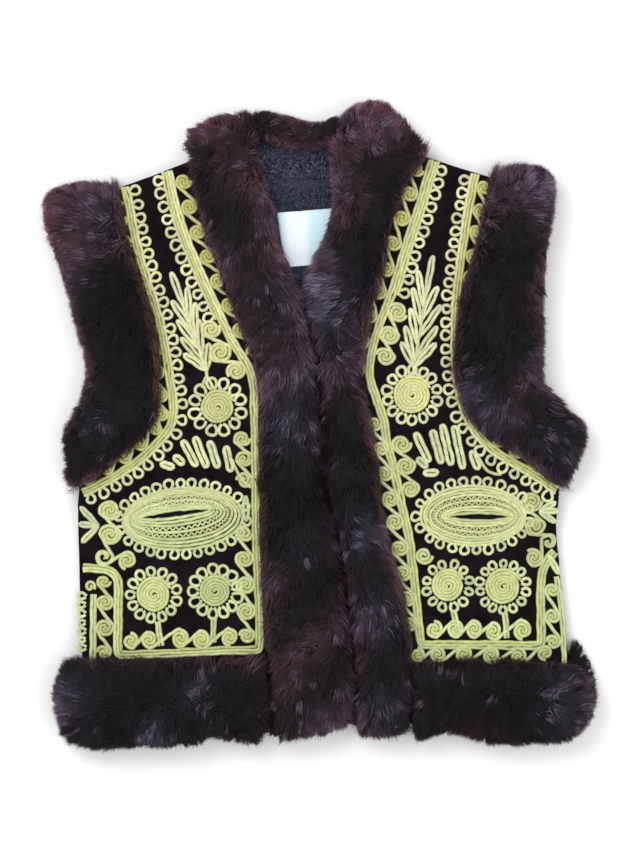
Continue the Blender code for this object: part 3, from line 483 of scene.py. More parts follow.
def tinted(name, roughness, **sockets):
    """A material whose colour comes from the mesh's own tint."""
    made, tree, shader = material(name, (0.5, 0.5, 0.5), roughness, **sockets)
    tint = tree.nodes.new("ShaderNodeVertexColor")
    tint.layer_name = "tint"
    tree.links.new(tint.outputs["Color"], shader.inputs["Base Color"])
    return made, tree, shader


def cord_material():
    made, tree, shader = tinted("lime_cord", 0.5, Sheen_Weight=0.15, Sheen_Roughness=0.4)
    twist = texture(tree, "Wave", 1.0, "UV", Distortion=0.4)
    twist.bands_direction = "DIAGONAL"
    bump(tree, shader, twist.outputs["Fac"], 0.0004, 0.6)
    return made


def pocketing_material():
    made, tree, shader = material("pocket_cotton", (0.006, 0.005, 0.007), 0.95)
    weave = texture(tree, "Checker", 900.0,
                    Color1=(0.004, 0.004, 0.005, 1.0), Color2=(0.010, 0.009, 0.011, 1.0))
    tree.links.new(weave.outputs["Color"], shader.inputs["Base Color"])
    bump(tree, shader, weave.outputs["Fac"], 0.0002)
    return made


# Meshes.

def add(name, data):
    obj = bpy.data.objects.new(name, data)
    bpy.context.scene.collection.objects.link(obj)
    return obj


def dress(obj, slot, *nodes):
    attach(obj, "root")
    if nodes:
        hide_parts(*nodes)
    return obj


def mesh_object(name, points, faces, finish, tint=None, uv=None):
    """An object from points in millimetres and an array of faces, all of one size."""
    mesh = bpy.data.meshes.new(name)
    mesh.vertices.add(len(points))
    mesh.vertices.foreach_set("co", (points * MM).astype(np.float32).ravel())
    corners = faces.ravel().astype(np.int32)
    mesh.loops.add(len(corners))
    mesh.loops.foreach_set("vertex_index", corners)
    mesh.polygons.add(len(faces))
    mesh.polygons.foreach_set("loop_start", np.arange(0, len(corners), faces.shape[1], dtype=np.int32))
    mesh.update(calc_edges=True)
    mesh.validate()
    mesh.shade_smooth()
    if tint is not None:
        layer = mesh.color_attributes.new("tint", "FLOAT_COLOR", "POINT")
        opaque = np.column_stack([tint, np.ones(len(tint))])
        layer.data.foreach_set("color", opaque.astype(np.float32).ravel())
    if uv is not None:
        layer = mesh.uv_layers.new(name="along_and_across")
        layer.data.foreach_set("uv", uv[corners].astype(np.float32).ravel())
    mesh.materials.append(finish)
    return add(name, mesh)


def grid_faces(rows, columns, base=0):
    """Four-sided faces between the points of a grid, its rows one after another from point base on."""
    row, column = np.meshgrid(np.arange(rows - 1), np.arange(columns - 1), indexing="ij")
    a = (base + row * columns + column).ravel()
    return np.stack([a, a + columns, a + columns + 1, a + 1], axis=1)


def threes(items, attribute, kind=float):
    rows = np.empty(len(items) * 3, kind)
    items.foreach_get(attribute, rows)
    return rows.reshape(-1, 3)


def arrays_of(mesh):
    """The points in millimetres, triangles and point normals of a mesh."""
    mesh.calc_loop_triangles()
    triangles = threes(mesh.loop_triangles, "vertices", np.int32)
    return threes(mesh.vertices, "co") / MM, triangles, threes(mesh.vertex_normals, "vector")


def welded(node):
    """A copy of a CAD node's mesh as a bmesh, its split corners joined."""
    shape = bmesh.new()
    shape.from_mesh(NODES[node].data)
    bmesh.ops.remove_doubles(shape, verts=shape.verts, dist=1e-6)
    return shape


def tree_of(node):
    """A CAD node's faces as a tree for finding what lies over or under a point."""
    shape = welded(node)
    tree = BVHTree.FromBMesh(shape)
    shape.free()
    return tree


def top_under(tree, x, y):
    """Where a plumb line in plan first meets a tree's faces from above, or None."""
    return tree.ray_cast(Vector((x * MM, y * MM, 0.1)), Vector((0, 0, -1)))[0]


def cloth(node, name, finish, slot, edge, lift, window=(-math.inf, -math.inf, math.inf, math.inf)):
    """A cloth piece in place of a CAD node: its mesh made finer, its points moved by lift along the normals.
    Inside the window its edges are made shorter than edge, and elsewhere than HIDDEN_EDGE.
    """
    left, low, right, high = window
    shape = welded(node)
    for _ in range(MOST_CUTS):
        long_edges = []
        for line in shape.edges:
            middle = (line.verts[0].co + line.verts[1].co) / 2 / MM
            seen = left < middle.x < right and low < middle.y < high
            if line.calc_length() > (edge if seen else HIDDEN_EDGE) * MM:
                long_edges.append(line)
        if not long_edges:
            break
        bmesh.ops.subdivide_edges(shape, edges=long_edges, cuts=1)
        bmesh.ops.triangulate(shape, faces=[face for face in shape.faces if len(face.verts) > 3])
    mesh = bpy.data.meshes.new(name)
    shape.to_mesh(mesh)
    shape.free()
    points, _, normals = arrays_of(mesh)
    points += normals * lift(points, normals)[:, None]
    mesh.vertices.foreach_set("co", (points * MM).astype(np.float32).ravel())
    mesh.shade_smooth()
    mesh.set_sharp_from_angle(angle=math.radians(60))
    mesh.materials.append(finish)
    return dress(add(name, mesh), slot, node)


class Ground:
    """The height of a front's outer face on a grid in plan, for laying cords and hair on it."""

    STEP = 3.0
    MARGIN = 24.0

    def __init__(self, node):
        tree = tree_of(node)
        low, high = (np.array(corner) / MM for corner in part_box(node))
        self.low = low[:2] - self.MARGIN
        columns, rows = np.ceil((high[:2] + self.MARGIN - self.low) / self.STEP).astype(int) + 1
        self.heights = np.full((rows, columns), np.nan)
        for j in range(rows):
            for i in range(columns):
                hit = top_under(tree, *(self.low + (i * self.STEP, j * self.STEP)))
                if hit is not None:
                    self.heights[j, i] = hit.z / MM
        self.seen = ~np.isnan(self.heights)
        while np.isnan(self.heights).any():
            self.spread()

    def spread(self):
        """Gives each empty cell beside a filled one the mean of its filled neighbours."""
        padded = np.pad(self.heights, 1, constant_values=np.nan)
        around = np.stack([padded[1:-1, :-2], padded[1:-1, 2:], padded[:-2, 1:-1], padded[2:, 1:-1]])
        known = ~np.isnan(around)
        mean = np.where(known, around, 0).sum(0) / np.maximum(known.sum(0), 1)
        fill = np.isnan(self.heights) & (known.sum(0) > 0)
        self.heights[fill] = mean[fill]

    def cells(self, plan):
        """Where points are on the grid, in columns and rows, kept just inside it."""
        most = np.array(self.heights.shape)[::-1] - 1.001
        return np.clip((plan - self.low) / self.STEP, 0, most)

    def height(self, plan):
        cell = self.cells(plan)
        i, j = cell.astype(int).T
        u, v = (cell - np.floor(cell)).T
        grid = self.heights
        return ((grid[j, i] * (1 - u) + grid[j, i + 1] * u) * (1 - v)
                + (grid[j + 1, i] * (1 - u) + grid[j + 1, i + 1] * u) * v)

    def covers(self, plan):
        """Whether the front lies under each point."""
        i, j = np.round(self.cells(plan)).astype(int).T
        return self.seen[j, i]


# Cord work: a path is a line in plan, a width, a lift over the velvet and how far painted shade yellows the
# cord (below zero, painted highlight lightens it).

def path(line, width=CORD, lift=0.0, painted_shade=0.0):
    return np.asarray(line, float), width, lift, painted_shade


def band(points, width, painted_shades):
    """Cords side by side along a band, one for each of golds."""
    line = smooth(points, CORD_STEP)
    count = len(painted_shades)
    pitch = width / count
    return [path(shifted(line, (k - (count - 1) / 2) * pitch), pitch + 0.6, painted_shade=painted_shade)
            for k, painted_shade in enumerate(painted_shades)]


def both_sides(half):
    """An outline from its half on one side of the middle."""
    half = np.array(half)
    return np.concatenate([half, half[-2::-1] * (1, -1)])


# Outlines of a round loop, a petal and a leaf: how far out from the foot and how far to one side. The leaf's
# are shares of its length and half width.
TEARDROP = both_sides([(-1.8, 0.9), (0.8, 2.7), (3.4, 3.8), (6.2, 3.1), (7.6, 0.0)])
PETAL = both_sides([(-0.4, 0.5), (1.1, 2.2), (3.8, 3.2), (6.2, 2.6), (7.4, 0.0)])
LEAF = both_sides([(0, 0), (0.3, 0.8), (0.65, 1), (0.93, 0.7), (1, 0)])


def loop(outline, foot, run, side, width):
    """A loop of cord in the directions run and side from its foot."""
    knots = foot + outline[:, :1] * run + outline[:, 1:] * side
    return path(smooth(knots, COIL_STEP), width, painted_shade=LOOP_PAINTED_HIGHLIGHT)


def drop(base, outwards, scale, width=CORD, outline=TEARDROP):
    """A loop of cord that stands outwards from its base, each a little different from the next."""
    turn = 0.13 * float(wavy(base[None], 9.0, 61)[0])
    scale *= 1 + 0.06 * float(wavy(base[None], 9.0, 62)[0])
    outwards = outwards / np.linalg.norm(outwards)
    sideways = np.array((-outwards[1], outwards[0]))
    return loop(outline * scale, base, outwards + sideways * turn, sideways - outwards * turn, width)


def loop_row(line, side, gap, scale=1.07, pitch=LOOP_PITCH):
    """Loops along a line, standing out to one side of it."""
    return [drop(base + way * side * gap, way * side, scale) for base, way in zip(*spots(line, pitch))]


def winding(x, y, radius, start, spin, pitch=COIL_PITCH, heart=COIL_HEART):
    """A cord's way from the rim of a coil, at the angle start, round and in to its middle."""
    rim = radius - CORD / 2
    turns = (rim - heart) / pitch
    count = max(8, int(math.pi * turns * (rim + heart) / COIL_STEP))
    share = 1 - (1 - np.linspace(0, 1, count)) ** 0.62
    angle = start + spin * 2 * math.pi * turns * share
    reach = rim - (rim - heart) * share
    return np.stack([x + reach * np.cos(angle), y + reach * np.sin(angle)], axis=1)


def scroll(coils, painted_shade=0.0):
    """One cord that winds into the middle of each coil, out again, and over to the far side of the next."""
    if len(coils) == 1:
        return [path(winding(*coils[0], 0.0, -1, SCROLL_PITCH / 2), SCROLL_CORD, painted_shade=painted_shade)]
    coils = np.array(coils, float)
    runs = unit(np.diff(coils[:, :2], axis=0))
    line = []
    for k, (x, y, radius) in enumerate(coils):
        before, after = runs[max(k - 1, 0)], runs[min(k, len(runs) - 1)]
        way_in, way_out = (
            winding(x, y, radius, math.atan2(run[1], run[0]) + quarter, -1, SCROLL_PITCH, SCROLL_HEART)
            for run, quarter in ((before, math.pi / 2), (after, -math.pi / 2)))
        if k:
            line.append(way_in[:1] - before * np.linalg.norm(coils[k, :2] - coils[k - 1, :2]) * TAIL)
        line += [way_in, way_out[::-1]]
        if k < len(runs):
            line.append(way_out[:1] + after * np.linalg.norm(coils[k + 1, :2] - coils[k, :2]) * TAIL)
    line = smooth(np.concatenate(line), COIL_STEP)
    inward = np.linalg.norm(line[:, None, :] - coils[None, :, :2], axis=2) / coils[None, :, 2]
    # Painted shade yellows the scroll's cord more towards each coil's middle.
    return [path(line, SCROLL_CORD, painted_shade=painted_shade + np.clip(0.65 - 0.8 * inward.min(axis=1), -0.15, 0.5))]


def outer_coils(line, way, gap, radius, pitch):
    """Coils on the fur side of a band, where the pile half hides them."""
    coils = [(*(base + side * way * gap), radius) for base, side in zip(*spots(line, pitch))]
    return scroll(coils, OUTER_COIL_PAINTED_SHADE)


def leaf(foot, tip, width=LEAF_WIDTH):
    """A long narrow loop of cord, its two sides touching at the foot."""
    foot, tip = np.array(foot, float), np.array(tip, float)
    run = tip - foot
    side = np.array((-run[1], run[0])) / np.linalg.norm(run) * (width - LEAF_CORD) / 2
    return loop(LEAF, foot, run, side, LEAF_CORD)


def finger(tip, foot):
    """A straight loop of cord with both of its ends round."""
    tip, foot = np.array(tip, float), np.array(foot, float)
    run = foot - tip
    half = (FINGER_WIDTH - FINGER_CORD) / 2
    end = half / np.linalg.norm(run)
    outline = np.array([(0.5, 1), (1 - end, 1), (1, 0), (1 - end, -1), (0.5, -1),
                        (end, -1), (0, 0), (end, 1), (0.5, 1)])
    return loop(outline, tip, run, np.array((-run[1], run[0])) * end, FINGER_CORD)


def flower(centre, inner, outer, petals, foot):
    """A coil with petals round it, and a stem of two cords where it has a foot."""
    centre = np.array(centre, float)
    made = [path(winding(*centre, inner, 0.4, 1), COIL_CORD, painted_shade=COIL_PAINTED_SHADE)]
    scale = (outer - inner - PETAL_CORD / 2) / PETAL[:, 0].max()
    for k in range(petals):
        angle = 2 * math.pi * (k + 0.5) / petals
        outwards = np.array((math.cos(angle), math.sin(angle)))
        made.append(drop(centre + outwards * inner, outwards, scale, PETAL_CORD, PETAL))
    if foot is not None:
        top = centre + unit(foot - centre) * (outer - 3)
        stem = smooth([top, (top + foot) / 2, foot], CORD_STEP)
        made += [path(shifted(stem, -1.5)), path(shifted(stem, 1.5))]
    return made


def oval(centre, half_long, half_wide, tilt, count):
    angle = np.linspace(0, 2 * math.pi, count + 1)
    u, v = half_long * np.cos(angle), half_wide * np.sin(angle)
    turn = math.radians(tilt)
    return np.stack([centre[0] + u * math.cos(turn) - v * math.sin(turn),
                     centre[1] + u * math.sin(turn) + v * math.cos(turn)], axis=1)


def pocket(centre, half_long, half_wide, tilt, slit, slit_long, slit_tilt):
    """Rings of cord that close in on a pocket slit, two of them zigzags, with loops round the outside."""
    outermost = np.array((*centre, half_long - CORD / 2, half_wide - CORD / 2, tilt))
    innermost = np.array((*slit, slit_long + 3.0, POCKET_LIP + 0.4, slit_tilt))
    rings = round((half_wide - POCKET_LIP) / COIL_PITCH)
    made = []
    for k in range(rings + 1):
        x, y, long, wide, turn = mixed(outermost, innermost, k / rings)
        if k in POCKET_ZIGZAGS:
            zigzag = oval((x, y), long, wide, turn, 2 * round((long + wide) * 0.78))
            swing = np.where(np.arange(len(zigzag)) % 2 == 0, ZIGZAG_SWING, -ZIGZAG_SWING)[:, None]
            made.append(path(smooth(zigzag + across(zigzag) * swing, 1.4), ZIGZAG_CORD, 0.3))
        else:
            made.append(path(oval((x, y), long, wide, turn, 84 - 4 * k), CORD, 0.08 * k))
    return made + loop_row(oval(centre, half_long, half_wide, tilt, 360), -1, -0.6, 0.98, POCKET_LOOP_PITCH)


def spray(foot, tip, left, right, feet):
    """A stem with slanting leaves down both sides and one at its tip."""
    foot, tip = np.array(foot, float), np.array(tip, float)
    length = np.linalg.norm(tip - foot)
    run = (tip - foot) / length
    made = [leaf(foot + run * length * 0.66, tip)]
    for leaf_tip in np.array(left + right, float):
        along = float((leaf_tip - foot) @ run)
        made.append(leaf(foot + run * max(0.0, along - LEAF_START), leaf_tip))
    made.append(path(smooth([foot, foot + run * length * 0.7], CORD_STEP), CORD, 0.4))
    return made + [path(smooth(line, CORD_STEP)) for line in feet]


def comb(fingers, tail):
    """Fingers side by side, and a cord that runs on from the last."""
    return [finger(tip, foot) for tip, foot in fingers] + [path(smooth(tail, CORD_STEP))]


# A cord's section: share of the half width, and share of the rise over the sunk foot.
SECTION = np.array([(-1.0, 0.0), (-0.62, 0.86), (0.0, 1.0), (0.62, 0.86), (1.0, 0.0)])
CORD_BASE = (0.607, 0.665, 0.312)
# The cord's tone in full painted shade.
CORD_PAINTED_SHADE_TONE = (0.505, 0.542, 0.105)
# Painted shade down both sides of a cord, and a little painted highlight on its crown, across the section.
CORD_SIDE_PAINTED_SHADE = np.array([0.78, 0.96, 1.03, 0.96, 0.78])
# Painted light from above: cords low on the fronts are a little darker and greener than those near the
# shoulders.
CORD_LOW_PAINTED_SHADE = (0.93, 0.92, 0.92)
CORD_HIGH_PAINTED_LIGHT = (1.07, 0.985, 1.07)
LOW_TO_HIGH = (-130.0, 100.0)
# The range of shades from cord to cord, and along each.
SHADES = (0.86, 1.12)
# Seeds for the two fronts, and what is added for each piece of cord work in order.
FRONT_SEED = {"right": 100, "left": 200}
CORD_SEEDS = (0, 1, 2, 3, 4, 20, 21, 22, 30, 31, 32, 40, 41)


def cord_work(name, ground, paths, finish, seed, *nodes):
    """One object from all the cords of a motif, laid on the front."""
    rng = np.random.default_rng(seed)
    points, faces, tints, uvs = [], [], [], []
    base = 0
    columns = len(SECTION)
    for line, width, lift, painted_shade in paths:
        sway = int(rng.integers(1e6))
        line = line + WANDER * np.stack([wavy(line, 9.0, sway), wavy(line, 9.0, sway + 1)], axis=1)
        side = across(line)
        rows = len(line)
        rise = np.full(rows, CORD_RISE + lift + rng.uniform(-0.12, 0.12))
        rise[[0, -1]] *= 0.45
        aside = SECTION[:, 0] * width / 2
        plan = line[:, None, :] + side[:, None, :] * aside[None, :, None]
        foot = ground.height(line) - CORD_SINK
        slope = (ground.height(line + side * 1.5) - ground.height(line - side * 1.5)) / 3.0
        heights = (foot[:, None] + slope[:, None] * aside[None, :]
                   + (rise + CORD_SINK)[:, None] * SECTION[:, 1][None, :])
        points.append(np.concatenate([plan, heights[:, :, None]], axis=2).reshape(-1, 3))
        uvs.append(np.stack(np.broadcast_arrays(reach_along(line)[:, None] * 0.55, SECTION[:, 0] * 0.35),
                            axis=2).reshape(-1, 2))
        shade = rng.uniform(*SHADES)
        warm = rng.uniform(-0.03, 0.03)
        wander = (1 + 0.05 * wavy(line, 25.0, int(rng.integers(1e6)))) * rng.uniform(*SHADES, rows)
        # Painted light from above: lighter near the shoulders, darker and greener low on the fronts.
        high = np.interp(line[:, 1], LOW_TO_HIGH, (0.0, 1.0))[:, None]
        # Painted shade yellows each cord as far as its path says.
        tint = mixed(CORD_BASE, CORD_PAINTED_SHADE_TONE, np.broadcast_to(painted_shade, rows)[:, None])
        tint = tint * mixed(CORD_LOW_PAINTED_SHADE, CORD_HIGH_PAINTED_LIGHT, high) * shade * (1 + warm * np.array((1, 0, -1)))
        tints.append((tint[:, None, :] * wander[:, None, None] * CORD_SIDE_PAINTED_SHADE[None, :, None]).reshape(-1, 3))
        faces.append(grid_faces(rows, columns, base))
        base += rows * columns
    obj = mesh_object(name, np.concatenate(points), np.concatenate(faces), finish,
                      np.concatenate(tints), np.concatenate(uvs))
    return dress(obj, "cord", *nodes)


def embroidery(side, ground, finish):
    """All the cord work of one front: each piece has a name, its paths and the nodes that it replaces."""
    way = PANEL_WAY[side]
    frame_band, armhole_band = FRAME_BAND[side], ARMHOLE_BAND[side]
    armhole = stretch(armhole_band)
    neckline = stretch(frame_band, NECK_LOOPS[side])
    neck_loops = loop_row(neckline, -way, 7.4, 1.10)
    neck_loops.append(path(shifted(neckline[::2], way * -5.6)))
    edge_cords = band(EDGE_BAND[side], EDGE_WIDTH[side], (0.0, 0.0))
    if side == "right":
        edge_cords.append(path(winding(*EDGE_COIL, -0.6, 1)))
    motifs = [(node, flower(*shape)) for node, *shape in FLOWERS[side]]
    motifs += [("pocket_welt", pocket(*POCKETS[side])), ("leaf_spray", spray(*SPRAYS[side])),
               ("finger_comb", comb(*COMBS[side]))]
    scrolls = outer_coils(armhole, -way, *ARMHOLE_COILS)
    scrolls += outer_coils(stretch(frame_band, NECK_COILS_END[side]), way, *NECK_COILS)
    for coils in SCROLLS[side]:
        scrolls += scroll(coils)
    works = [("cords_frame", band(frame_band, FRAME_WIDTH, FRAME_PAINTED_SHADE[::way]),
              "neck_band", "hem_band", "side_band"),
             ("loops_neck", neck_loops),
             ("cords_armhole", band(armhole_band, ARMHOLE_WIDTH, ARMHOLE_PAINTED_SHADE[::way]), "armhole_band"),
             ("loops_armhole", loop_row(armhole, way, 5.0)),
             ("cords_edge", edge_cords, "edge_band")]
    works += [(f"cords_{node}", paths, node) for node, paths in motifs]
    works += [("scrolls", scrolls), ("leaves", [leaf(*row) for row in LEAVES[side]])]
    for (name, paths, *nodes), seed in zip(works, CORD_SEEDS):
        cord_work(f"{name}_{side}", ground, paths, finish, FRONT_SEED[side] + seed,
                  *(f"{node}_{side}" for node in nodes))


# Fur.

def even_skin(node):
    """An even, smoothed skin of a CAD trim, as points, triangles and normals."""
    shape = welded(node)
    mesh = bpy.data.meshes.new("skin")
    shape.to_mesh(mesh)
    shape.free()
    obj = add("skin", mesh)
    remesh = obj.modifiers.new("even", "REMESH")
    remesh.mode = "VOXEL"
    remesh.voxel_size = SKIN_VOXEL * MM
    relax = obj.modifiers.new("relax", "SMOOTH")
    relax.iterations = 8
    relax.factor = 0.5
    graph = bpy.context.evaluated_depsgraph_get()
    made = bpy.data.meshes.new_from_object(obj.evaluated_get(graph))
    bpy.data.objects.remove(obj)
    skin = arrays_of(made)
    bpy.data.meshes.remove(made)
    return skin


def combing(node, points, normals, ruffle, seed):
    """The way the hair is brushed at each point: off the crest and down, ruffled where it parts."""
    y = points[:, 1]
    leftwards = 1 if node.endswith("left") else -1
    if node.startswith("armhole"):
        down = np.interp(y, [-60, -20, 60, 150, 190, 235], [0.5, 0.35, 0.5, 0.5, 0.1, -0.8])
        aside = np.full(len(y), 0.3 * leftwards)
    elif node.startswith("front"):
        down = np.interp(y, [-290, -100, 60, 200, 245, 300], [1.0, 0.9, 0.9, 0.7, 0.1, -0.9])
        aside = np.interp(y, [180, 250], [0.15, 0.35]) * leftwards
    elif node.startswith("collar"):
        down = np.full(len(y), -0.25)
        aside = np.full(len(y), 0.8)
    else:
        down = np.interp(y, [-275, -235], [0.7, -0.8])
        aside = np.interp(points[:, 0], [-250, -110, -50, 88, 140, 260], [-0.8, 0.0, 0.8, -0.8, 0.0, 0.8])
    for *spot, sideways, upwards in COMBED_PATCHES.get(node, ()):
        near = patch(points, *spot)
        aside, down = aside + sideways * near, down - upwards * near
    flow = np.stack([aside + 0.35 * wavy(points, 75.0, seed), -down + 0.28 * wavy(points, 60.0, seed + 1),
                     np.full(len(y), -0.15)], axis=1)
    slope = np.hypot(normals[:, 0], normals[:, 1])
    flow += normals * (1.0, 1.0, 0.0) * (0.4 + 0.9 * slope)[:, None]
    flow -= normals * (flow * normals).sum(1, keepdims=True)
    parting = np.clip(1 - np.linalg.norm(flow, axis=1, keepdims=True), 0, 1)
    return unit(flow + np.cross(normals, ruffle) * parting)


def tufts(roots, count):
    """For each root, which of the first count roots is nearest."""
    tree = kdtree.KDTree(count)
    for k in range(count):
        tree.insert(roots[k], k)
    tree.balance()
    return np.array([tree.find(root)[1] for root in roots])


def beyond(points, line, way):
    """How far points are past a line in plan, on its left where way is 1."""
    line = np.array(line, float)
    start, run = line[:-1], np.diff(line, axis=0)
    offset = points[:, None, :2] - start
    along = np.clip((offset * run).sum(axis=2) / (run ** 2).sum(axis=1), 0, 1)
    offset -= along[:, :, None] * run
    distance = np.linalg.norm(offset, axis=2)
    nearest = distance.argmin(axis=1)
    rows = np.arange(len(points))
    left = run[nearest, 0] * offset[rows, nearest, 1] - run[nearest, 1] * offset[rows, nearest, 0]
    return way * np.sign(left) * distance[rows, nearest]


def clear_of(points, triangles, places):
    """How far places are outside a skin, and how far inside it, below zero."""
    tree = BVHTree.FromPolygons(points.tolist(), triangles.tolist())
    made = np.empty(len(places))
    for k, spot in enumerate(places):
        nearest, normal, _, distance = tree.find_nearest(Vector(spot))
        made[k] = math.copysign(distance, (Vector(spot) - nearest).dot(normal))
    return made


def planted(node, core, triangles, normals, hairs, rng):
    """The hairs' roots, spread over what can be seen of a backing, and the way out of it at each."""
    corner = core[triangles]
    face = np.cross(corner[:, 1] - corner[:, 0], corner[:, 2] - corner[:, 0])
    upwards = unit(normals[triangles].mean(axis=1))[:, 2]
    weight = np.linalg.norm(face, axis=1) * np.clip((upwards + 0.45) / 0.5, UNSEEN, 1.0)
    if node == "hem_trim_back":
        weight *= np.where(np.abs(corner[:, 0, 0]) > BACK_TRIM_SHOWS, 1.0, UNSEEN)
    chosen = rng.choice(len(triangles), hairs, p=weight / weight.sum())
    u, v = np.sqrt(rng.random(hairs)), rng.random(hairs)
    share = np.stack([1 - u, u * (1 - v), u * v], axis=1)[:, :, None]
    return (corner[chosen] * share).sum(axis=1), unit((normals[triangles[chosen]] * share).sum(axis=1))


def neighbours(node, skins, roots, tip):
    """How far each tip is outside all the trims, and painted shade from 0 to 1 as its root nears another
    one.
    """
    proud = clear_of(*skins[node][:2], tip)
    meeting_shade = np.zeros(len(roots))
    for other, (skin, rows, _) in skins.items():
        close = ((roots > skin.min(axis=0) - MEETING) & (roots < skin.max(axis=0) + MEETING)).all(axis=1)
        if other != node and close.any():
            proud[close] = np.minimum(proud[close], clear_of(skin, rows, tip[close]))
            meeting_shade[close] = np.maximum(meeting_shade[close], 1 - clear_of(skin, rows, roots[close]) / MEETING)
    return proud, np.clip(meeting_shade, 0, 1)


def hair_colours(node, roots, out, tuft, meeting_shade, fringe_glow, seed, rng):
    """A colour for each hair: dark on the crest, painted sheen plum down the flanks, in patches and streaks.
    """
    # Painted sheen: the more a root faces sideways, the more plum the hair, in broad patches.
    flank_sheen = (0.93 - out[:, 2]) / 0.75 + 0.22 * wavy(roots, 50.0, seed + 9)
    for *spot, more in FUR_PATCHES:
        flank_sheen += more * patch(roots, *spot)
    # Painted shade darkens the pile where the patches take the sheen below zero.
    patch_shade = 1 - 0.4 * np.clip(-flank_sheen, 0, 1)
    # Painted shade where another trim is near takes the sheen away.
    flank_sheen = np.clip(flank_sheen, 0, 1.2) * (1 - np.clip(1.5 * meeting_shade, 0, 0.9))
    at_least_some = np.clip(flank_sheen, 0.2, 1)
    # Painted bluish sheen, in random patches and listed ones, where there is some plum sheen.
    blue_sheen = np.clip(0.35 * wavy(roots, 46.0, seed + 12), 0, 0.5) * at_least_some
    for *spot, more in FUR_SHINE:
        blue_sheen += more * patch(roots, *spot)
    colour = mixed(FUR_DARK, FUR_PLUM_SHEEN, flank_sheen[:, None])
    colour = mixed(colour, FUR_BLUE_SHEEN, np.clip(blue_sheen, 0, 0.7)[:, None])
    # The painted glow of the lit cords through the thin fringe.
    colour = mixed(colour, FUR_FRINGE_GLOW, fringe_glow[:, None])
    for *spot, more in FUR_RED_PATCHES:
        colour = mixed(colour, FUR_RED, (more * patch(roots, *spot) * at_least_some)[:, None])
    grain = (1.0, 0.35, 1.0) if node.startswith(("front", "armhole")) else (0.8, 0.6, 1.0)
    # Streaks of lighter and darker hair along the grain: random tone, made strongest where the painted sheen
    # is.
    streak = 1 + (0.55 * wavy(roots * grain, 8.0, seed + 15) + 0.35 * wavy(roots, 16.0, seed + 16)) \
        * np.clip(flank_sheen + blue_sheen, 0.2, 1)
    streak = np.maximum(streak, 0.2) * patch_shade
    streak *= rng.uniform(0.75, 1.3, len(roots)) * rng.uniform(0.65, 1.35, len(roots))[tuft]
    colour = colour * streak[:, None]
    spread = np.linalg.norm(roots - roots[tuft], axis=1)
    # Painted highlights: some hairs in a tuft take a pale highlight, mostly where the sheen is.
    chance = 0.5 * np.clip(flank_sheen + 1.5 * blue_sheen, 0, 1.3) * np.exp(-(spread / 4.5) ** 2)
    highlighted = rng.random(len(roots))[tuft] < chance
    highlighted &= rng.random(len(roots)) < 0.5
    light = mixed(FUR_HIGHLIGHT, FUR_SHEEN, np.clip(1.6 * blue_sheen, 0, 1)[:, None])
    colour[highlighted] = colour[highlighted] * 0.45 + light[highlighted] * 0.55
    return colour


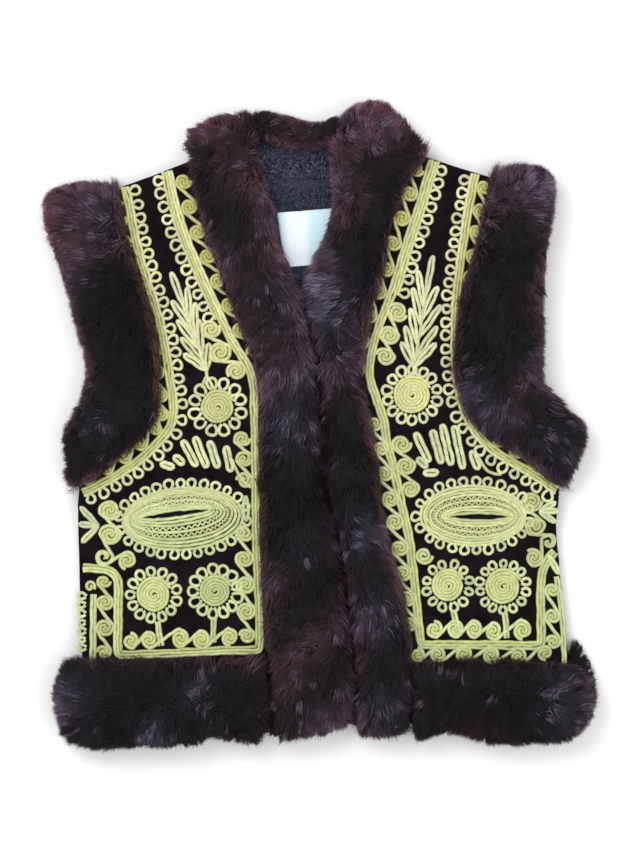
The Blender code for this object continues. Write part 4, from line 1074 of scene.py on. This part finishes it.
def fur(node, hairs, length, depth, seed, grounds, skins, hair, under):
    """A dark backing drawn in from the trim's outline, and the hair that grows out to it."""
    rng = np.random.default_rng(seed)
    points, triangles, normals = skins[node]
    core = points - normals * (depth - 1.3 * wavy(points, 22.0, seed + 5))[:, None]
    core[:, 2] = np.maximum(core[:, 2], 0.6)
    body = mesh_object(f"{node}_backing", core, triangles, under)
    dress(body, "fur", node)

    # Each hair's root, its direction as it leaves the backing and at its tip, and its length.
    roots, out = planted(node, core, triangles, normals, hairs, rng)
    tuft = tufts(roots, hairs // HAIRS_PER_TUFT)
    lean = rng.normal(size=(hairs, 3))
    together = rng.normal(size=(hairs, 3))[tuft]
    flow = combing(node, roots, out, 0.7 * together + 0.3 * lean, seed)
    size = length * (1 + 0.12 * wavy(roots, 18.0, seed + 7)) * rng.uniform(0.70, 1.10, hairs)
    size *= rng.uniform(0.88, 1.10, hairs)[tuft]
    sewn = np.zeros(hairs, bool)
    for ground in grounds:
        sewn |= ground.covers(roots[:, :2] + out[:, :2] * SEAM_REACH)
    size *= np.where(sewn, SEWN_LENGTH, FREE_LENGTH)
    start = unit(out * 0.75 + flow * 0.6 + lean * 0.14 + together * 0.10)
    end = unit(out * 0.15 + flow * 0.95 + lean * 0.16 + together * 0.18 + np.array((0, 0, -0.06)))
    middle = roots + start * (size * 0.5)[:, None]
    tip = middle + end * (size * 0.55)[:, None]
    pull = rng.uniform(0.10, 0.50, hairs)[:, None]
    middle += (middle[tuft] - middle) * pull * 0.3
    tip += (tip[tuft] - tip) * pull

    # Hair is cut short where it would reach past the trims' outlines, or past the line where the pile ends.
    proud, meeting_shade = neighbours(node, skins, roots, tip)
    proud -= rng.uniform(*TIPS_PROUD, hairs) + STRAY * (rng.random(hairs) < STRAY_SHARE)
    *spot, more = NECK_FOOT
    proud -= more * patch(tip, *spot)
    over_panel = np.zeros(hairs, bool)
    for ground in grounds:
        over_panel |= ground.covers(tip[:, :2])
    kept = np.where(sewn & over_panel, 1.0, np.clip(1 - (proud - 6.0 * sewn) / size, 0.45, 1))
    fringe_glow = np.zeros(hairs)
    if node in FUR_EDGES:
        way, cord_glow, edge = FUR_EDGES[node]
        fringe = rng.uniform(*FRINGE, hairs) + LONG_FRINGE * (rng.random(hairs) < LONG_FRINGE_SHARE)
        deep, past = beyond(roots, edge, way), beyond(tip, edge, way)
        # How much painted glow of the cords each hair takes, more near where the pile ends over a panel.
        fringe_glow = cord_glow * np.clip(1 + np.minimum(past, fringe) / 9.0, 0, 1) * sewn
        reach = np.clip((fringe - deep) / np.maximum(past - deep, 1e-6), 0.3, 1)
        kept = np.where(past > fringe, np.minimum(kept, reach), kept)
    middle, tip = roots + (middle - roots) * kept[:, None], roots + (tip - roots) * kept[:, None]
    for ground in grounds:
        for line, least in ((middle, 2.0), (tip, 1.2)):
            over = ground.covers(line[:, :2])
            floor = ground.height(line[:, :2]) + CORD_RISE + least + rng.random(hairs) * 2.5
            line[:, 2] = np.where(over, np.maximum(line[:, 2], floor), line[:, 2])
    for line in (roots, middle, tip):
        line[:, 2] = np.clip(line[:, 2], 0.5, PILE_TOP)

    # A hair is two flat triangles, root to middle and middle to tip.
    side = unit(np.cross(end, out + lean * 0.2))
    turn = rng.uniform(-0.9, 0.9, hairs)[:, None]
    side = side * np.cos(turn) + np.cross(end, side) * np.sin(turn)
    thick = side * HAIR_HALF_WIDTH * rng.uniform(0.75, 1.25, hairs)[:, None]
    strands = np.stack([roots, middle - thick, middle + thick, tip], axis=1)
    colour = hair_colours(node, roots, out, tuft, meeting_shade, fringe_glow, seed, rng)
    # Painted shade darkens each hair towards its root, and painted light lightens its tip.
    tint = colour[:, None, :] * STRAND_PAINTED_SHADE[:, None]
    first = np.arange(hairs)[:, None] * 4
    faces = np.concatenate([first + (0, 2, 1), first + (1, 2, 3)])
    pile = mesh_object(f"{node}_pile", strands.reshape(-1, 3), faces, hair, tint.reshape(-1, 3))
    flat = np.cross(end, side)
    flat *= np.sign((flat * out).sum(axis=1, keepdims=True) + 1e-9)
    pile.data.normals_split_custom_set_from_vertices(np.repeat(unit(out + flat * 0.6), 4, axis=0))
    dress(pile, "fur")


# Cloth pieces.

def creases(seed, high, length):
    """Soft waves that move both faces of a cloth the same way."""
    def lift(points, normals):
        return high * wavy(points[:, :2], length, seed) * np.sign(normals[:, 2] + 1e-9)
    return lift


def boucle(high, length, seed):
    """Small lumps on a cloth's upper face."""
    def lift(points, normals):
        curls = wavy(points, length, seed) * wavy(points, length * 0.7, seed + 1)
        return high * np.abs(curls) * (normals[:, 2] > 0.2)
    return lift


def add_curls(name, node, window, finish, seed):
    """Open rings of yarn, tumbled every way, over a cloth piece where the label doesn't lie on it."""
    left, low, right, high, count, radius = window
    rng = np.random.default_rng(seed)
    tree = tree_of(node)
    label_tree = tree_of("label")
    points, faces, tints = [], [], []
    turns = np.linspace(0, 1.7 * math.pi, CURL_STEPS)
    corner = np.arange(CURL_SIDES) * 2 * math.pi / CURL_SIDES
    row, column = np.meshgrid(np.arange(CURL_STEPS - 1), np.arange(CURL_SIDES), indexing="ij")
    a, b = row * CURL_SIDES + column, row * CURL_SIDES + (column + 1) % CURL_SIDES
    tube_faces = np.stack([a, b, b + CURL_SIDES, a + CURL_SIDES], axis=-1).reshape(-1, 4)
    for _ in range(count):
        x, y = rng.uniform(left, right), rng.uniform(low, high)
        hit = top_under(tree, x, y - radius)
        if hit is None or top_under(label_tree, x, y - radius) is not None:
            continue
        size = radius * rng.uniform(0.7, 1.3)
        first = unit(rng.normal(size=3) * (1, 1, 0.6))
        second = unit(np.cross(first, rng.normal(size=3)))
        centre = np.array((x, y, hit.z / MM + size * rng.uniform(0.3, 1.0)))
        ring = np.cos(turns)[:, None] * first + np.sin(turns)[:, None] * second
        upright = np.cross(first, second)
        yarn = size * 0.42
        climb = size * 0.25 * turns[:, None, None] / math.pi
        tube = (centre + ring[:, None, :] * (size + yarn * np.cos(corner)[None, :, None])
                + upright * (yarn * np.sin(corner)[None, :, None] + climb))
        faces.append(tube_faces + len(points) * CURL_STEPS * CURL_SIDES)
        points.append(tube.reshape(-1, 3))
        tone = mixed(CURL_DARK, CURL_LIGHT, rng.random() ** 1.4)
        tints.append(np.tile(tone, (CURL_STEPS * CURL_SIDES, 1)))
    obj = mesh_object(name, np.concatenate(points), np.concatenate(faces), finish, np.concatenate(tints))
    dress(obj, "boucle")


def camera_and_light():
    scene = bpy.context.scene
    data = bpy.data.cameras.new("camera")
    data.lens = CAMERA_LENS
    data.sensor_width = 36
    camera = add("camera", data)
    camera.location = (0, 0, CAMERA_HEIGHT * MM)
    scene.camera = camera
    world = bpy.data.worlds.new("studio")
    world.use_nodes = True
    world.node_tree.nodes["Background"].inputs["Color"].default_value = (1.0, 1.0, 1.0, 1.0)
    world.node_tree.nodes["Background"].inputs["Strength"].default_value = 0.75
    scene.world = world
    for name, spot, size, power in LAMPS:
        lamp = bpy.data.lights.new(name, "AREA")
        lamp.size = size
        lamp.energy = power
        obj = add(name, lamp)
        obj.location = spot
        obj.rotation_euler = (-Vector(spot)).to_track_quat("-Z", "Y").to_euler()
    scene.view_settings.view_transform = "Standard"


def floor():
    span = 4000.0
    points = np.array([(-span, -span, -0.3), (span, -span, -0.3), (span, span, -0.3), (-span, span, -0.3)])
    paper = grainy("studio_floor", PAPER, 0.9, "Noise", 3.0, {"Detail": 2.0}, PAPER, (0.97, 0.97, 0.97), 0)
    mesh_object("floor", points, np.array([[0, 1, 2, 3]]), paper)


camera_and_light()
floor()

velvet = velvet_material()
lining = grainy("brushed_lining", (0.030, 0.036, 0.056), 0.95,
                "Noise", 700.0, {"Detail": 2.0, "Roughness": 0.6},
                (0.013, 0.019, 0.034), (0.048, 0.062, 0.104), 0.0008,
                Sheen_Tint=(0.5, 0.55, 0.75, 1.0), **WOOL)
boucle_wool = grainy("boucle_wool", (0.03, 0.035, 0.05), 0.95,
                     "Noise", 420.0, {"Detail": 3.0, "Roughness": 0.7, "Distortion": 1.2},
                     (0.007, 0.010, 0.017), (0.070, 0.084, 0.128), 0.0016,
                     Sheen_Tint=(0.5, 0.55, 0.7, 1.0), **WOOL)
# The satin's two tones lie in broad waves across the label: a painted sheen.
satin = grainy("label_satin", (0.80, 0.93, 0.95), 0.32, "Wave", 7.0, {"Distortion": 1.2},
               (0.64, 0.86, 0.93), (0.84, 0.94, 0.98), 0.0001, 0.4, Sheen_Weight=0.2)
pocketing = pocketing_material()
cord = cord_material()
curl_wool = tinted("boucle_curls", 0.8, Specular_IOR_Level=0.2)[0]

back = cloth("back", "velvet_back", velvet, "velvet", 20.0, creases(3, 0.15, 60.0))
under_lining = cloth("lining", "brushed_lining", lining, "boucle", 3.0, boucle(0.5, 5.0, 5),
                     (-70, 110, 30, 240))
facing = cloth("neck_facing", "boucle_facing", boucle_wool, "boucle", 2.0, boucle(0.8, 6.0, 8),
               (-75, 228, 35, 275))
add_curls("facing_curls", "neck_facing", FACING_CURLS, curl_wool, 91)
add_curls("lining_curls", "lining", LINING_CURLS, curl_wool, 92)
label = cloth("label", "neck_label", satin, "satin", 4.0, creases(9, 0.25, 40.0))
grounds = {}
for side in SIDES:
    grounds[side] = Ground(f"front_{side}")
    front = cloth(f"front_{side}", f"velvet_front_{side}", velvet, "velvet", 7.0, creases(12, 0.25, 30.0))
    bag = cloth(f"pocket_bag_{side}", f"pocket_lining_{side}", pocketing, "pocketing", 12.0,
                creases(14, 0.2, 30.0))
    embroidery(side, grounds[side], cord)
back_loops = loop_row(smooth(BACK_EDGE, 1.0), -1, 0.0, 0.74, 8.6)
cord_work("loops_back_edge", grounds["right"], back_loops, cord, 300)

hair = tinted("fur_hair", 0.6, Specular_IOR_Level=0.10)[0]
under = grainy("fur_under", (0.010, 0.008, 0.009), 0.9, "Noise", 300.0, {"Detail": 3.0},
               (0.008, 0.006, 0.008), (0.030, 0.018, 0.024), 0.0015)
skins = {node: even_skin(node) for node, *_ in FUR}
for node, hairs, length, depth, seed in FUR:
    near = [grounds[side] for side in SIDES if node.endswith(side)]
    fur(node, hairs, length, depth, seed, near, skins, hair, under)
